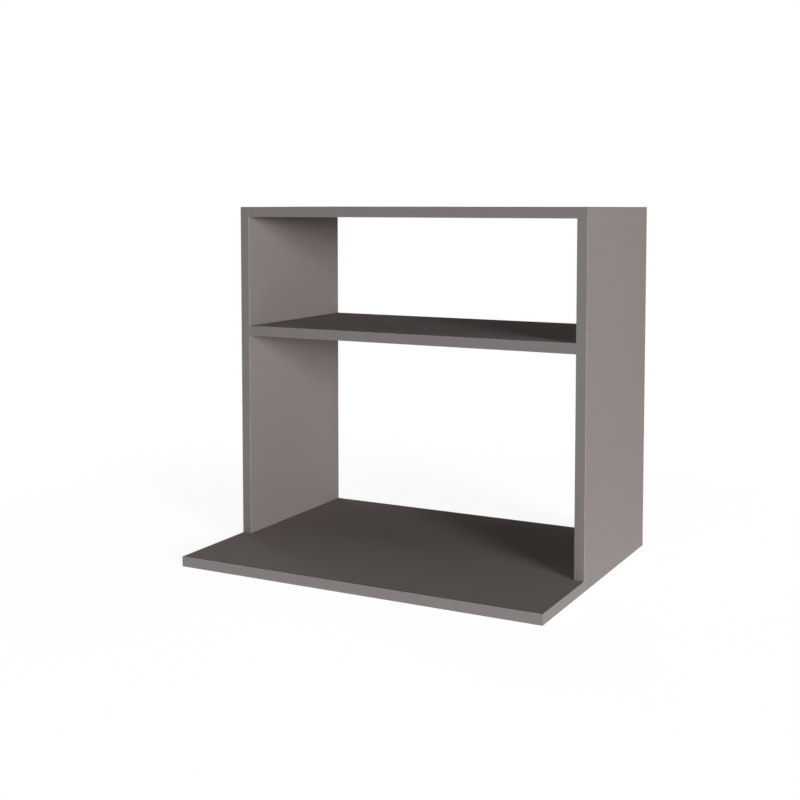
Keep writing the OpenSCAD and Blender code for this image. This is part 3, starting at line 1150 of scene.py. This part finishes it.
@dataclass
class Carcase:
    """The five boards: two sides, top panel, shelf and bottom panel."""

    places: Places
    finishes: FinishShelf
    arris: float = 0.00012
    papered_depth: float = 0.00009
    mouth: float = 0.00025
    drill_tip: float = 0.0005
    pilot_tip: float = 0.00025

    def board(self, node: str, thickness_axis: int, *tools: Solid) -> None:
        """Makes one board, drills it and papers its two faces.

        Args:
            node: The board's node.
            thickness_axis: 0, 1 or 2 for the axis across the board.
            tools: Everything that is cut out of it.
        """
        low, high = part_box(node)
        blank = Solid.block(low, high, self.arris).cut(*tools)
        faces = (low[thickness_axis], high[thickness_axis])
        for polygon in blank.mesh.faces:
            across = polygon.calc_center_median()[thickness_axis]
            papered = min(abs(across - face) for face in faces) < self.papered_depth
            polygon.material_index = 0 if papered else 1
        fitted(blank, node.replace("panel", "board"), node, Slot.BOARD,
               self.finishes.melamine, self.finishes.chipboard)

    def dowel_drill(self) -> Solid:
        """Makes the drill for a dowel.

        Returns:
            The drill, whose joint is at local Z = 0.
        """
        sizes = self.places.sizes
        low = -sizes.dowel_seat - sizes.end_clear
        high = sizes.dowel_length - sizes.dowel_seat + sizes.end_clear
        radius = sizes.dowel_radius + sizes.dowel_clear
        return Solid.turned([(radius, low), (radius, high)])

    def screw_drill(self) -> Solid:
        """Makes the stepped drill for a bottom screw and its cover plug.

        Returns:
            The drill, standing up from below the underside.
        """
        sizes = self.places.sizes
        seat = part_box("bottom_screws")[0].z
        head = sizes.screw_head_radius + sizes.thread_clear
        shank = sizes.screw_shank_radius + sizes.thread_clear
        thread = sizes.screw_thread_radius + sizes.thread_clear
        plug = sizes.plug_radius + sizes.recess_clear
        cone = seat + sizes.screw_rim + sizes.thread_clear
        return Solid.turned([
            (plug, -REACH), (plug, seat), (head, seat), (head, cone),
            (shank, cone + head - shank), (shank, self.places.board + sizes.thread_clear),
            (thread, self.places.board + sizes.end_clear),
            (thread, seat + sizes.screw_length - sizes.screw_tip),
            (self.drill_tip, seat + sizes.screw_length + sizes.thread_clear),
        ])

    def hanger_tools(self, end: int) -> list[Solid]:
        """Makes the router cuts and screw holes for one hanger plate.

        Args:
            end: -1 for the left side, 1 for the right side.

        Returns:
            The tools: recess, pocket and screw holes.
        """
        sizes, places = self.places.sizes, self.places
        low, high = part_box("right_hanger_plate")
        width, thick = high.x - low.x, high.y - low.y
        recess = Solid.prism(slot_outline(-places.hanger_rise, places.hanger_rise,
                                          width / 2 + sizes.recess_clear), -REACH, thick)
        pocket = Solid.prism(slot_outline(-sizes.hanger_entry_drop, sizes.hanger_neck_rise,
                                          sizes.hanger_pocket_radius),
                             0.0, thick + sizes.hanger_pocket_depth)
        hole = sizes.hanger_screw_radius + sizes.thread_clear
        depth = sizes.hanger_screw_length
        drill = Solid.turned([(hole, 0.0), (hole, depth - 2 * hole), (self.pilot_tip, depth)])
        frame_of = places.hanger(end)
        return [recess.placed(frame_of), pocket.placed(frame_of),
                drill.repeated(places.hanger_screws(end))]

    def side(self, node: str, end: int) -> None:
        """Makes one side with its drilled rows and its hanger recess.

        Args:
            node: The side's node.
            end: -1 for the left side, 1 for the right side.
        """
        sizes, places = self.places.sizes, self.places
        depth = sizes.thread_length + sizes.end_clear
        radius = sizes.thread_radius + sizes.thread_clear
        blind = Solid.turned([(radius, -depth), (radius, REACH)])
        self.board(
            node, 0,
            blind.repeated(lying(places.both_boards(places.bolt_ys))),
            self.dowel_drill().repeated(lying(places.both_boards(places.dowel_ys))),
            self.screw_drill().repeated(places.side_feet(places.screw_ys, 0.0)),
            self.dowel_drill().repeated(places.side_feet(places.dowel_ys, places.board)),
            *self.hanger_tools(end),
        )

    def cross_board(self, node: str, height: float, down: bool) -> None:
        """Makes the top panel or the shelf with its cam bores.

        Args:
            node: The board's node.
            height: Middle of its thickness.
            down: Whether its cams open downwards.
        """
        sizes, places = self.places.sizes, self.places
        floor = places.board / 2 - sizes.cam_height - sizes.end_clear
        cam = bore_tool(sizes.cam_radius + sizes.cam_clear, floor, places.board / 2, self.mouth)
        cam = cam.placed(Matrix.Translation((sizes.cam_setback, 0.0, 0.0)))
        shank_radius = sizes.collar_radius + sizes.thread_clear
        shank = Solid.turned([(shank_radius, -REACH), (shank_radius, sizes.cam_setback)])
        ends = places.board_ends(places.bolt_ys, height, down)
        dowel_ends = places.board_ends(places.dowel_ys, height, down)
        self.board(node, 2, cam.repeated(ends), shank.repeated(lying(ends)),
                   self.dowel_drill().repeated(lying(dowel_ends)))

    def build(self) -> None:
        """Makes all five boards."""
        places = self.places
        self.side("left_side_panel", -1)
        self.side("right_side_panel", 1)
        self.cross_board("top_panel", places.top_z, False)
        self.cross_board("shelf_panel", places.shelf_z, True)
        self.board(
            "bottom_panel", 2,
            self.screw_drill().repeated(places.side_feet(places.screw_ys, 0.0)),
            self.dowel_drill().repeated(places.side_feet(places.dowel_ys, places.board)),
        )


# ---- edge bands ----


class Facing(Enum):
    """Which way a band's outer face looks, under the last word of its node's name."""

    FRONT = ("front_band", (0.0, -1.0, 0.0))
    REAR = ("rear_band", (0.0, 1.0, 0.0))
    UP = ("top_band", (0.0, 0.0, 1.0))
    LEFT = ("left_band", (-1.0, 0.0, 0.0))
    RIGHT = ("right_band", (1.0, 0.0, 0.0))

    @property
    def outward(self) -> Vector:
        """Gives the outward direction."""
        return Vector(self.value[1])

    @classmethod
    def of(cls, node: str) -> "Facing":
        """Finds the facing that a node's name ends with."""
        return next(facing for facing in cls if node.endswith(facing.value[0]))


@dataclass
class EdgeBanding:
    """The edge bands round the boards, each a drawn strip with scraped arrises that also carry a
    painted highlight.
    """

    places: Places
    finishes: FinishShelf
    cutters: dict[str, list[Solid]]
    arris: float = 0.0005
    glue_line: float = 0.00006
    arris_steps: int = 6

    def section(self, width: float, thick: float) -> list[Point]:
        """Draws the strip's section.

        Args:
            width: Across the board's edge.
            thick: From the board outwards.

        Returns:
            Its points, across and outwards.
        """
        half = width / 2
        side = [(half - self.glue_line, 0.0), (half, self.glue_line)]
        side += arc((half - self.arris, thick - self.arris), self.arris, 0.0, QUARTER_TURN,
                    self.arris_steps)
        return side + [(-across, out) for across, out in reversed(side)]

    def strip(self, node: str) -> None:
        """Draws one strip along its board's edge.

        Args:
            node: The band's node.
        """
        low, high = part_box(node)
        size = high - low
        outward = Facing.of(node).outward
        run_axis = max(range(3), key=lambda axis: size[axis])
        run = Vector([1.0 if axis == run_axis else 0.0 for axis in range(3)])
        across = outward.cross(run)
        width = abs(size.dot(across))
        thick = abs(size.dot(outward))
        middle = (low + high) / 2
        foot = middle - outward * thick / 2 - run * size[run_axis] / 2
        section = self.section(width, thick)
        rings = [[foot + run * (size[run_axis] * share) + across * u + outward * v
                  for u, v in section] for share in (0.0, 1.0)]
        crown = thick - self.arris

        def wear(point: Vector) -> float:
            """Tells how strongly the scraped line and painted highlight show at a point, from its
            place in the section.

            Args:
                point: A point of its surface.

            Returns:
                The strength there, from 0 to 1, greatest at the middle of each rounded arris.
            """
            offset = point - foot
            side = width / 2 - self.arris
            out = (offset.dot(outward) - crown) / self.arris
            over = (abs(offset.dot(across)) - side) / self.arris
            return math.sin(2 * math.atan2(max(out, 0.0), max(over, 0.0))) if over > 0 else 0.0

        solid = Solid.loft(rings).cut(*self.cutters.get(node, []))
        fitted(solid, node.replace("band", "edging"), node, Slot.EDGE_BAND, self.finishes.band,
               wear=wear)

    def build(self) -> None:
        """Draws every strip."""
        for node in sorted(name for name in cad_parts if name.endswith("_band")):
            self.strip(node)


# ---- fittings ----


@dataclass
class CamFittings:
    """Cam housings, their bolts and the caps under the shelf."""

    places: Places
    finishes: FinishShelf
    throw: float = 0.0008
    chamber_radius: float = 0.0044
    head_radius: float = 0.0034
    head_half: float = 0.0022
    neck_radius: float = 0.0022
    shank_radius: float = 0.0035
    collar_height: float = 0.0015
    slip: float = 0.0003
    slot_start: float = math.radians(145)
    drive: Cross = Cross(0.008, 0.0016, 0.0025)
    rim: float = 0.0004
    rim_ease: float = 0.3
    rubbed_rim: float = 0.0002
    pointer_inset: float = 0.0011
    pointer_size: float = 0.0015
    pointer_depth: float = 0.0004
    thread_rise: float = 0.0006
    thread_pitch: float = 0.0025
    thread_nose: float = 0.0008
    edge: float = 0.0002
    bolt_drive: Cross = Cross(0.0034, 0.0008, 0.0014)
    cap_radius: float = 0.0085
    cap_height: float = 0.001
    cap_dome: tuple[Point, ...] = ((0.0, 0.0006), (0.00015, 0.00025), (0.0005, 0.00006),
                                   (0.0014, 0.0))
    cap_peg_clear: float = 0.0001
    notch_depth: float = 0.0008
    notch_half: float = 0.0012
    notch_height: float = 0.0004

    def housing(self) -> Solid:
        """Casts one cam: cross slot, pointer, off-centre chamber, neck slot and mouth.

        Returns:
            The cam at the end of a board, in the board end's own frame.
        """
        sizes, face = self.places.sizes, self.places.board / 2
        radius, floor = sizes.cam_radius, self.places.board / 2 - sizes.cam_height
        rim, ease = self.rim, self.rim * self.rim_ease
        body = Solid.turned([
            (radius - 2 * rim, floor), (radius - rim, floor + ease), (radius, floor + 2 * rim),
            (radius, face - rim), (radius - ease, face - ease), (radius - rim, face),
        ])
        chamber = self.chamber_radius
        height = self.head_radius + self.slip
        hollow = Solid.turned([(chamber, -height), (chamber, height)])
        half = self.neck_radius + self.slip
        sweep = arc((0.0, 0.0), radius + REACH, self.slot_start, 2 * math.pi, ROUND_SIDES)
        slot = Solid.prism([(0.0, 0.0), *sweep], -half, half)
        mouth = Solid.turned([(height, 0.0), (height, radius + REACH)])
        tip = radius - self.pointer_inset
        root, wing = tip - self.pointer_size, self.pointer_inset
        pointer = Solid.prism([(tip, 0.0), (root, wing), (root, -wing)],
                              face - self.pointer_depth, face + REACH)
        body.cut(
            self.drive.tool(face),
            hollow.placed(Matrix.Translation((self.throw, 0.0, 0.0))),
            slot,
            mouth.placed(Matrix.Rotation(QUARTER_TURN, 4, "Y")),
            pointer.placed(Matrix.Rotation(QUARTER_TURN / 2, 4, "Z")),
        )
        return body.placed(Matrix.Translation((sizes.cam_setback, 0.0, 0.0)))

    def bolt(self) -> Solid:
        """Turns one bolt: thread, collar, shank, neck and head.

        Returns:
            The bolt along local Z, with the side's face at Z = 0.
        """
        sizes, rise = self.places.sizes, self.thread_rise
        root = sizes.thread_radius - rise
        thread = Thread(rise - sizes.thread_length, -sizes.end_clear, rise, self.thread_pitch)
        shank_end = sizes.cam_setback - sizes.cam_radius - sizes.end_clear
        neck_end = sizes.cam_setback - self.head_half
        head_end = sizes.cam_setback + self.head_half
        bevel = self.head_radius - self.neck_radius
        collar, edge = sizes.collar_radius, self.edge
        profile = [(root - self.thread_nose, -sizes.thread_length)]
        profile += [(root, height) for height in thread.stations()]
        profile += [
            (root, 0.0), (collar - edge, 0.0), (collar, edge),
            (collar, self.collar_height - edge), (collar - edge, self.collar_height),
            (self.shank_radius, self.collar_height), (self.shank_radius, shank_end - edge),
            (self.shank_radius - edge, shank_end), (self.neck_radius, shank_end),
            (self.neck_radius, neck_end), (self.head_radius, neck_end + bevel),
            (self.head_radius, head_end - bevel), (self.neck_radius, head_end),
        ]
        made = Solid.turned(profile, thread.relief)
        return made.cut(self.bolt_drive.tool(head_end))

    def cap(self) -> Solid:
        """Moulds one cap: a domed disc with a cross that presses into the cam.

        Returns:
            The cap in the board end's own frame.
        """
        radius, face = self.cap_radius, self.places.board / 2
        top = face + self.cap_height
        disc = Solid.turned([(radius, face)]
                            + [(radius - inset, top - drop) for inset, drop in self.cap_dome])
        arm = self.drive.arm / 2 - self.slip
        width = self.drive.width / 2 - self.cap_peg_clear
        low, high = face + self.slip - self.drive.depth, face + self.slip
        pegs = [Solid.block(Vector((-x, -y, low)), Vector((x, y, high)), self.cap_peg_clear)
                for x, y in ((arm, width), (width, arm))]
        inner, outer, half = radius - self.notch_depth, radius + REACH, self.notch_half
        notch = Solid.prism([(inner, -half), (outer, -half), (outer, half), (inner, half)],
                            face - REACH, face + self.notch_height)
        disc.worked(Join.WELD, *pegs).cut(notch)
        return disc.placed(Matrix.Translation((self.places.sizes.cam_setback, 0.0, 0.0)))

    def rim_wear(self, point: Vector) -> float:
        """Tells how rubbed a cam is: at its rim, beside the open face.

        Args:
            point: A point of its surface.

        Returns:
            The wear there, from 0 to 1.
        """
        faces = (self.places.top_z + self.places.board / 2,
                 self.places.shelf_z - self.places.board / 2)
        depth = min(abs(point.z - face) for face in faces)
        return 1.0 if 0.0 < depth < self.rubbed_rim else 0.0

    def build(self) -> None:
        """Makes the cams, bolts and caps of both boards."""
        places, finishes = self.places, self.finishes
        top = places.board_ends(places.bolt_ys, places.top_z, False)
        shelf = places.board_ends(places.bolt_ys, places.shelf_z, True)
        housing, bolt = self.housing(), self.bolt()
        for board, ends in (("top", top), ("shelf", shelf)):
            fitted(housing.repeated(ends), f"{board}_cams", f"{board}_cam_housings", Slot.ZINC,
                   finishes.zinc, wear=self.rim_wear)
            fitted(bolt.repeated(lying(ends)), f"{board}_bolts", f"{board}_cam_bolts", Slot.STEEL,
                   finishes.steel)
        fitted(self.cap().repeated(shelf), "shelf_caps", "shelf_cam_caps", Slot.CAP,
               finishes.plastic)


@dataclass
class Dowels:
    """Fluted beech dowels in every joint."""

    places: Places
    finishes: FinishShelf
    chamfer: float = 0.001
    flutes: int = 14
    flute_depth: float = 0.00022
    flute_sides: int = 8
    flute_inset: float = 0.5

    def dowel(self) -> Solid:
        """Turns one dowel and presses its flutes.

        Returns:
            The dowel along local Z, with the joint at Z = 0.
        """
        sizes = self.places.sizes
        low, high = -sizes.dowel_seat, sizes.dowel_length - sizes.dowel_seat
        radius, step = sizes.dowel_radius, self.chamfer

        def flute(angle: float, height: float) -> float:
            """Presses the flutes, which fade out at the chamfered ends.

            Args:
                angle: Angle round the dowel, in radians.
                height: Height along the dowel.

            Returns:
                How far the surface stands out there.
            """
            ends = min(height - low, high - height)
            groove = max(0.0, math.cos(angle * self.flutes)) ** 2
            return -self.flute_depth * groove * smooth_step(ends / step - self.flute_inset)

        profile = [
            (radius - step, low), (radius, low + step), (radius, low + 2 * step),
            (radius, high - 2 * step), (radius, high - step), (radius - step, high),
        ]
        return Solid.turned(profile, flute, self.flutes * self.flute_sides)

    def build(self) -> None:
        """Makes the dowels of the top panel, the shelf and the bottom panel."""
        places, finishes, dowel = self.places, self.finishes, self.dowel()
        rows = places.dowel_ys
        groups = {
            "top": (lying(places.board_ends(rows, places.top_z, False)), finishes.lying_beech),
            "shelf": (lying(places.board_ends(rows, places.shelf_z, True)), finishes.lying_beech),
            "bottom": (places.side_feet(rows, places.board), finishes.standing_beech),
        }
        for board, (spots, beech) in groups.items():
            fitted(dowel.repeated(spots), f"{board}_beech_pegs", f"{board}_dowels", Slot.DOWEL,
                   beech)


@dataclass
class BottomFixings:
    """Screws up through the bottom panel, and the plugs that cover their heads."""

    places: Places
    finishes: FinishShelf
    edge: float = 0.0002
    cone: float = 0.0024
    socket_width: float = 0.0046
    socket_depth: float = 0.003
    thread_lead: float = 0.002
    thread_shoulder: float = 0.0006
    thread_rise: float = 0.0009
    thread_pitch: float = 0.003
    thread_end: float = 0.5
    tip_taper: float = 0.45
    point_radius: float = 0.0003
    plug_height: float = 0.001
    plug_dome: tuple[Point, ...] = ((0.0007, 0.0), (0.0003, 0.00005), (0.00008, 0.0002),
                                    (0.0, 0.0005))

    def hexagon(self, across: float, low: float, high: float) -> Solid:
        """Stands a hexagon up between two heights."""
        return Solid.turned([(across / 2, low), (across / 2, high)], sides=HEXAGON_SIDES)

    def screw(self) -> Solid:
        """Turns one screw: head with a hexagon socket, cone, shank, thread and tip.

        Returns:
            The screw standing up at its place under the underside.
        """
        sizes = self.places.sizes
        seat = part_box("bottom_screws")[0].z
        head, shank, edge = sizes.screw_head_radius, sizes.screw_shank_radius, self.edge
        root = sizes.screw_thread_radius - self.thread_rise
        end, tip = seat + sizes.screw_length, sizes.screw_tip
        cone = seat + sizes.screw_rim
        thread = Thread(self.places.board + self.thread_lead, end - tip * self.thread_end,
                        self.thread_rise, self.thread_pitch)
        profile = [(head - edge, seat), (head, seat + edge), (head, cone),
                   (shank, cone + self.cone), (shank, self.places.board),
                   (root, self.places.board + self.thread_shoulder)]
        for height in thread.stations():
            thinned = self.tip_taper * smooth_step((height - end + tip) / tip)
            profile.append((root * (1 - thinned), height))
        profile.append((self.point_radius, end))
        made = Solid.turned(profile, thread.relief)
        return made.cut(self.hexagon(self.socket_width, seat - REACH, seat + self.socket_depth))

    def plug(self) -> Solid:
        """Moulds one cover plug: a disc with a domed rim and a hexagon peg.

        Returns:
            The plug at its place in the underside.
        """
        sizes = self.places.sizes
        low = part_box("bottom_screw_plugs")[0].z
        high, radius = low + self.plug_height, sizes.plug_radius
        disc = Solid.turned([(radius - inset, low + rise) for inset, rise in self.plug_dome]
                            + [(radius, high)])
        peg = self.hexagon(self.socket_width - 2 * sizes.recess_clear, (low + high) / 2,
                           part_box("bottom_screw_plugs")[1].z)
        return disc.worked(Join.WELD, peg)

    def build(self) -> None:
        """Makes the six screws and their plugs."""
        feet = self.places.side_feet(self.places.screw_ys, 0.0)
        fitted(self.screw().repeated(feet), "bottom_assembly_screws", "bottom_screws", Slot.STEEL,
               self.finishes.steel)
        fitted(self.plug().repeated(feet), "bottom_cover_plugs", "bottom_screw_plugs", Slot.CAP,
               self.finishes.plastic)


@dataclass
class WallHangers:
    """Keyhole plates let into the sides' rear edges, with their screws."""

    places: Places
    finishes: FinishShelf
    entry_radius: float = 0.00425
    neck_radius: float = 0.0023
    edge: float = 0.0003
    edge_steps: int = 4
    punch_edge: float = 0.00015
    head_radius: float = 0.003
    head_edge: float = 0.0001
    head_drive: Cross = Cross(0.0034, 0.0008, 0.0015)
    thread_lead: float = 0.0004
    thread_rise: float = 0.00045
    thread_pitch: float = 0.0012
    thread_end: float = 1 / 3
    tip_taper: float = 0.6
    tip: float = 0.003
    point_radius: float = 0.0002

    def plate(self) -> Solid:
        """Stamps one plate: rounded outline, keyhole and two countersunk holes.

        Returns:
            The plate in the hanger's own frame.
        """
        sizes, rise = self.places.sizes, self.places.hanger_rise
        low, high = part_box("right_hanger_plate")
        half, thick, edge = (high.x - low.x) / 2, high.y - low.y, self.edge
        rings = []
        for step in range(self.edge_steps + 1):
            turn = QUARTER_TURN * step / self.edge_steps
            inset, height = edge * (1 - math.sin(turn)), edge * (1 - math.cos(turn))
            outline = slot_outline(-rise, rise, half - inset)
            rings.append([Vector((x, y, height)) for x, y in outline])
        rings.append([Vector((x, y, thick)) for x, y in slot_outline(-rise, rise, half)])
        plate = Solid.loft(rings)
        entry = self.keyhole_tool(0.0, 0.0, self.entry_radius, thick)
        neck = self.keyhole_tool(0.0, sizes.hanger_entry_drop + sizes.hanger_neck_rise,
                                 self.neck_radius, thick)
        down = Matrix.Translation((0.0, -sizes.hanger_entry_drop, 0.0))
        hole = sizes.hanger_screw_radius + sizes.thread_clear
        head = self.head_radius + sizes.thread_clear
        sink = Solid.turned([(head, -REACH), (head, 0.0), (hole, head - hole),
                             (hole, thick + REACH)])
        plate.cut(entry.placed(down), neck.placed(down))
        for spot in (-rise, rise):
            plate.cut(sink.placed(Matrix.Translation((0.0, spot, 0.0))))
        return plate

    def keyhole_tool(self, low: float, high: float, radius: float, thick: float) -> Solid:
        """Makes a punch with a broken edge on the side that shows.

        Args:
            low: Lower centre of its slot.
            high: Upper centre of its slot.
            radius: Half its width.
            thick: Thickness of the plate that it goes through.

        Returns:
            The punch.
        """
        edge = self.punch_edge
        heights = ((-REACH, edge), (0.0, edge), (edge, 0.0), (thick + REACH, 0.0))
        return Solid.loft([[Vector((x, y, z)) for x, y in slot_outline(low, high, radius + grown)]
                           for z, grown in heights])

    def screw(self) -> Solid:
        """Turns one countersunk screw with a cross in its head.

        Returns:
            The screw in its hole's own frame, head first.
        """
        sizes = self.places.sizes
        radius = sizes.hanger_screw_radius
        root = radius - self.thread_rise
        cone, edge = self.head_radius - radius, self.head_edge
        end, start = sizes.hanger_screw_length, cone + self.thread_lead
        thread = Thread(start, end - self.tip * self.thread_end, self.thread_rise,
                        self.thread_pitch)
        profile = [(self.head_radius - edge, 0.0), (self.head_radius, edge),
                   (radius, cone + edge), (root, start)]
        for height in thread.stations()[1:]:
            thinned = self.tip_taper * smooth_step((height - end + self.tip) / self.tip)
            profile.append((root * (1 - thinned), height))
        profile.append((self.point_radius, end))
        made = Solid.turned(profile, thread.relief)
        flip = Matrix.Rotation(math.pi, 4, "X")
        return made.cut(self.head_drive.tool(0.0).placed(flip))

    def build(self) -> None:
        """Makes both plates and their four screws."""
        plate, screw, steel = self.plate(), self.screw(), self.finishes.steel
        for side, end in (("left", -1), ("right", 1)):
            fitted(plate.placed(self.places.hanger(end)), f"{side}_keyhole_plate",
                   f"{side}_hanger_plate", Slot.STEEL, steel)
            fitted(screw.repeated(self.places.hanger_screws(end)), f"{side}_plate_screws",
                   f"{side}_hanger_screws", Slot.STEEL, steel)


# ---- studio ----


@dataclass(frozen=True)
class Lamp:
    """A soft box that looks at the cabinet."""

    name: str
    azimuth: float
    elevation: float
    distance: float
    width: float
    height: float
    power: float
    target: tuple[float, float, float] = (0.0, 0.0, 0.25)

    def hang(self) -> None:
        """Hangs the lamp on its bearing, facing its target."""
        light = bpy.data.lights.new(self.name, "AREA")
        light.shape = "RECTANGLE"
        light.size, light.size_y, light.energy = self.width, self.height, self.power
        made = bpy.data.objects.new(self.name, light)
        bpy.context.scene.collection.objects.link(made)
        turn, tilt = math.radians(self.azimuth), math.radians(self.elevation)
        bearing = Vector((math.sin(turn) * math.cos(tilt), -math.cos(turn) * math.cos(tilt),
                          math.sin(tilt)))
        made.location = Vector(self.target) + bearing * self.distance
        made.rotation_euler = bearing.to_track_quat("Z", "Y").to_euler()
        made.visible_camera = False
        LOG.info("%s hangs at %.1f m", self.name, self.distance)


@dataclass
class Studio:
    """Pale floor, soft lamps, even surroundings and the camera."""

    floor_half: float = 12.0
    floor_colour: Colour = (0.85, 0.85, 0.85)
    floor_roughness: float = 0.9
    floor_shadow_share: float = 0.35
    floor_lit_level: float = 0.3
    # The floor glows for rays other than the eye's: an even glow plus a stronger pool round the
    # cabinet, standing in for light bounced off the floor.
    bounce_glow: float = 0.2
    pool_glow: float = 0.48
    pool_start: float = 1.2
    pool_full: float = 0.4
    white: float = 1.0
    camera_place: tuple[float, float, float] = (0.90352, -1.78522, 0.5658)
    camera_pitch: float = 3.832
    camera_yaw: float = 27.741
    camera_lens: float = 56.846
    camera_shift: float = -0.14
    camera_sensor: float = 36.0
    lamps: tuple[Lamp, ...] = (
        Lamp("key_lamp", azimuth=60.0, elevation=12.0, distance=9.0, width=2.4, height=1.0,
             power=303.0),
        Lamp("low_lamp", azimuth=55.0, elevation=6.0, distance=9.0, width=2.4, height=1.0,
             power=428.0),
        Lamp("overhead_lamp", azimuth=0.0, elevation=88.0, distance=6.0, width=3.0, height=3.0,
             power=50.0),
        Lamp("rear_lamp", azimuth=-120.0, elevation=2.5, distance=9.0, width=3.0, height=0.5,
             power=420.0),
    )

    def floor(self) -> None:
        """Lays the floor: white to the eye with a soft shadow; to other rays a glow standing in for
        floor bounce, strongest round the cabinet.
        """
        half = self.floor_half
        mesh = bpy.data.meshes.new("floor")
        mesh.from_pydata([(-half, -half, 0.0), (half, -half, 0.0), (half, half, 0.0),
                          (-half, half, 0.0)], [], [(0, 1, 2, 3)])
        material, wire, surface = begun("pale_floor", {"Specular IOR Level": 0.0})
        surface.inputs["Base Color"].default_value = opaque(self.floor_colour)
        surface.inputs["Roughness"].default_value = self.floor_roughness
        away = wire.node("ShaderNodeVectorMath", {0: wire.spot()},
                         operation="LENGTH").outputs["Value"]
        near = wire.ranged(away, self.pool_full, self.pool_start, 1.0, 0.0)
        near.node.interpolation_type = "SMOOTHSTEP"
        # Glow that stands in for floor bounce, strongest within pool_full of the middle and gone
        # past pool_start.
        spread = wire.math("ADD", wire.math("MULTIPLY", near, self.pool_glow), self.bounce_glow)
        bounce_glow = wire.node("ShaderNodeEmission", {"Strength": spread})
        lit = wire.node("ShaderNodeAddShader", {0: surface.outputs[0], 1: bounce_glow.outputs[0]})
        share = wire.math("MULTIPLY", near, self.floor_shadow_share)
        ground = wire.math("SUBTRACT", self.white,
                           wire.math("MULTIPLY", share, self.floor_lit_level))
        bare = wire.node("ShaderNodeEmission", {"Strength": ground})
        dark = wire.node("ShaderNodeEmission", {"Strength": 0.0})
        shaded = wire.node("ShaderNodeMixShader", {0: share, 1: dark.outputs[0],
                                                   2: surface.outputs[0]})
        seen = wire.node("ShaderNodeAddShader", {0: bare.outputs[0], 1: shaded.outputs[0]})
        chosen = wire.node("ShaderNodeMixShader", {0: wire.to_eye(), 1: lit.outputs[0],
                                                   2: seen.outputs[0]})
        wire.tree.links.new(chosen.outputs[0],
                            material.node_tree.nodes["Material Output"].inputs["Surface"])
        mesh.materials.append(material)
        made = bpy.data.objects.new("floor", mesh)
        bpy.context.scene.collection.objects.link(made)
        made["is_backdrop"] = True

    def sky(self) -> None:
        """Hangs white surroundings that only the eye and reflections see."""
        world = bpy.data.worlds.new("surroundings")
        world.use_nodes = True
        world.node_tree.nodes.clear()
        wire = Wiring(world.node_tree)
        strength = wire.math("MULTIPLY", wire.to_eye(), self.white)
        white = wire.node("ShaderNodeBackground", {"Strength": strength})
        white.inputs["Color"].default_value = opaque((1.0, 1.0, 1.0))
        wire.node("ShaderNodeOutputWorld", {"Surface": white.outputs[0]})
        bpy.context.scene.world = world

    def camera(self) -> None:
        """Stands the camera at the photograph's angle."""
        data = bpy.data.cameras.new("camera")
        data.sensor_width = self.camera_sensor
        data.lens = self.camera_lens
        data.shift_y = self.camera_shift
        made = bpy.data.objects.new("camera", data)
        made.location = self.camera_place
        made.rotation_euler = (QUARTER_TURN - math.radians(self.camera_pitch), 0.0,
                               math.radians(self.camera_yaw))
        bpy.context.scene.collection.objects.link(made)
        bpy.context.scene.camera = made

    def build(self) -> None:
        """Sets up the whole studio."""
        bpy.context.scene.view_settings.view_transform = "Standard"
        self.camera()
        self.floor()
        self.sky()
        for lamp in self.lamps:
            lamp.hang()


def write_sizes() -> None:
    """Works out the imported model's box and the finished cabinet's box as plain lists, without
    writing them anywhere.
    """
    boxes = {"cad": CAD_BOX, "visual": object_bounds()}
    plain = {name: [list(corner) for corner in corners] for name, corners in boxes.items()}


def main() -> None:
    """Builds the studio and every sub-assembly of the cabinet in order."""
    logging.basicConfig(level=logging.INFO, format="%(name)s: %(message)s")
    Studio().build()
    places = Places.from_model(FittingSizes())
    finishes = FinishShelf(Effects())
    carcase = Carcase(places, finishes)
    carcase.build()
    cutters = {"left_side_rear_band": carcase.hanger_tools(-1),
               "right_side_rear_band": carcase.hanger_tools(1)}
    EdgeBanding(places, finishes, cutters).build()
    CamFittings(places, finishes).build()
    Dowels(places, finishes).build()
    BottomFixings(places, finishes).build()
    WallHangers(places, finishes).build()
    write_sizes()


if __name__ == "__main__":
    main()
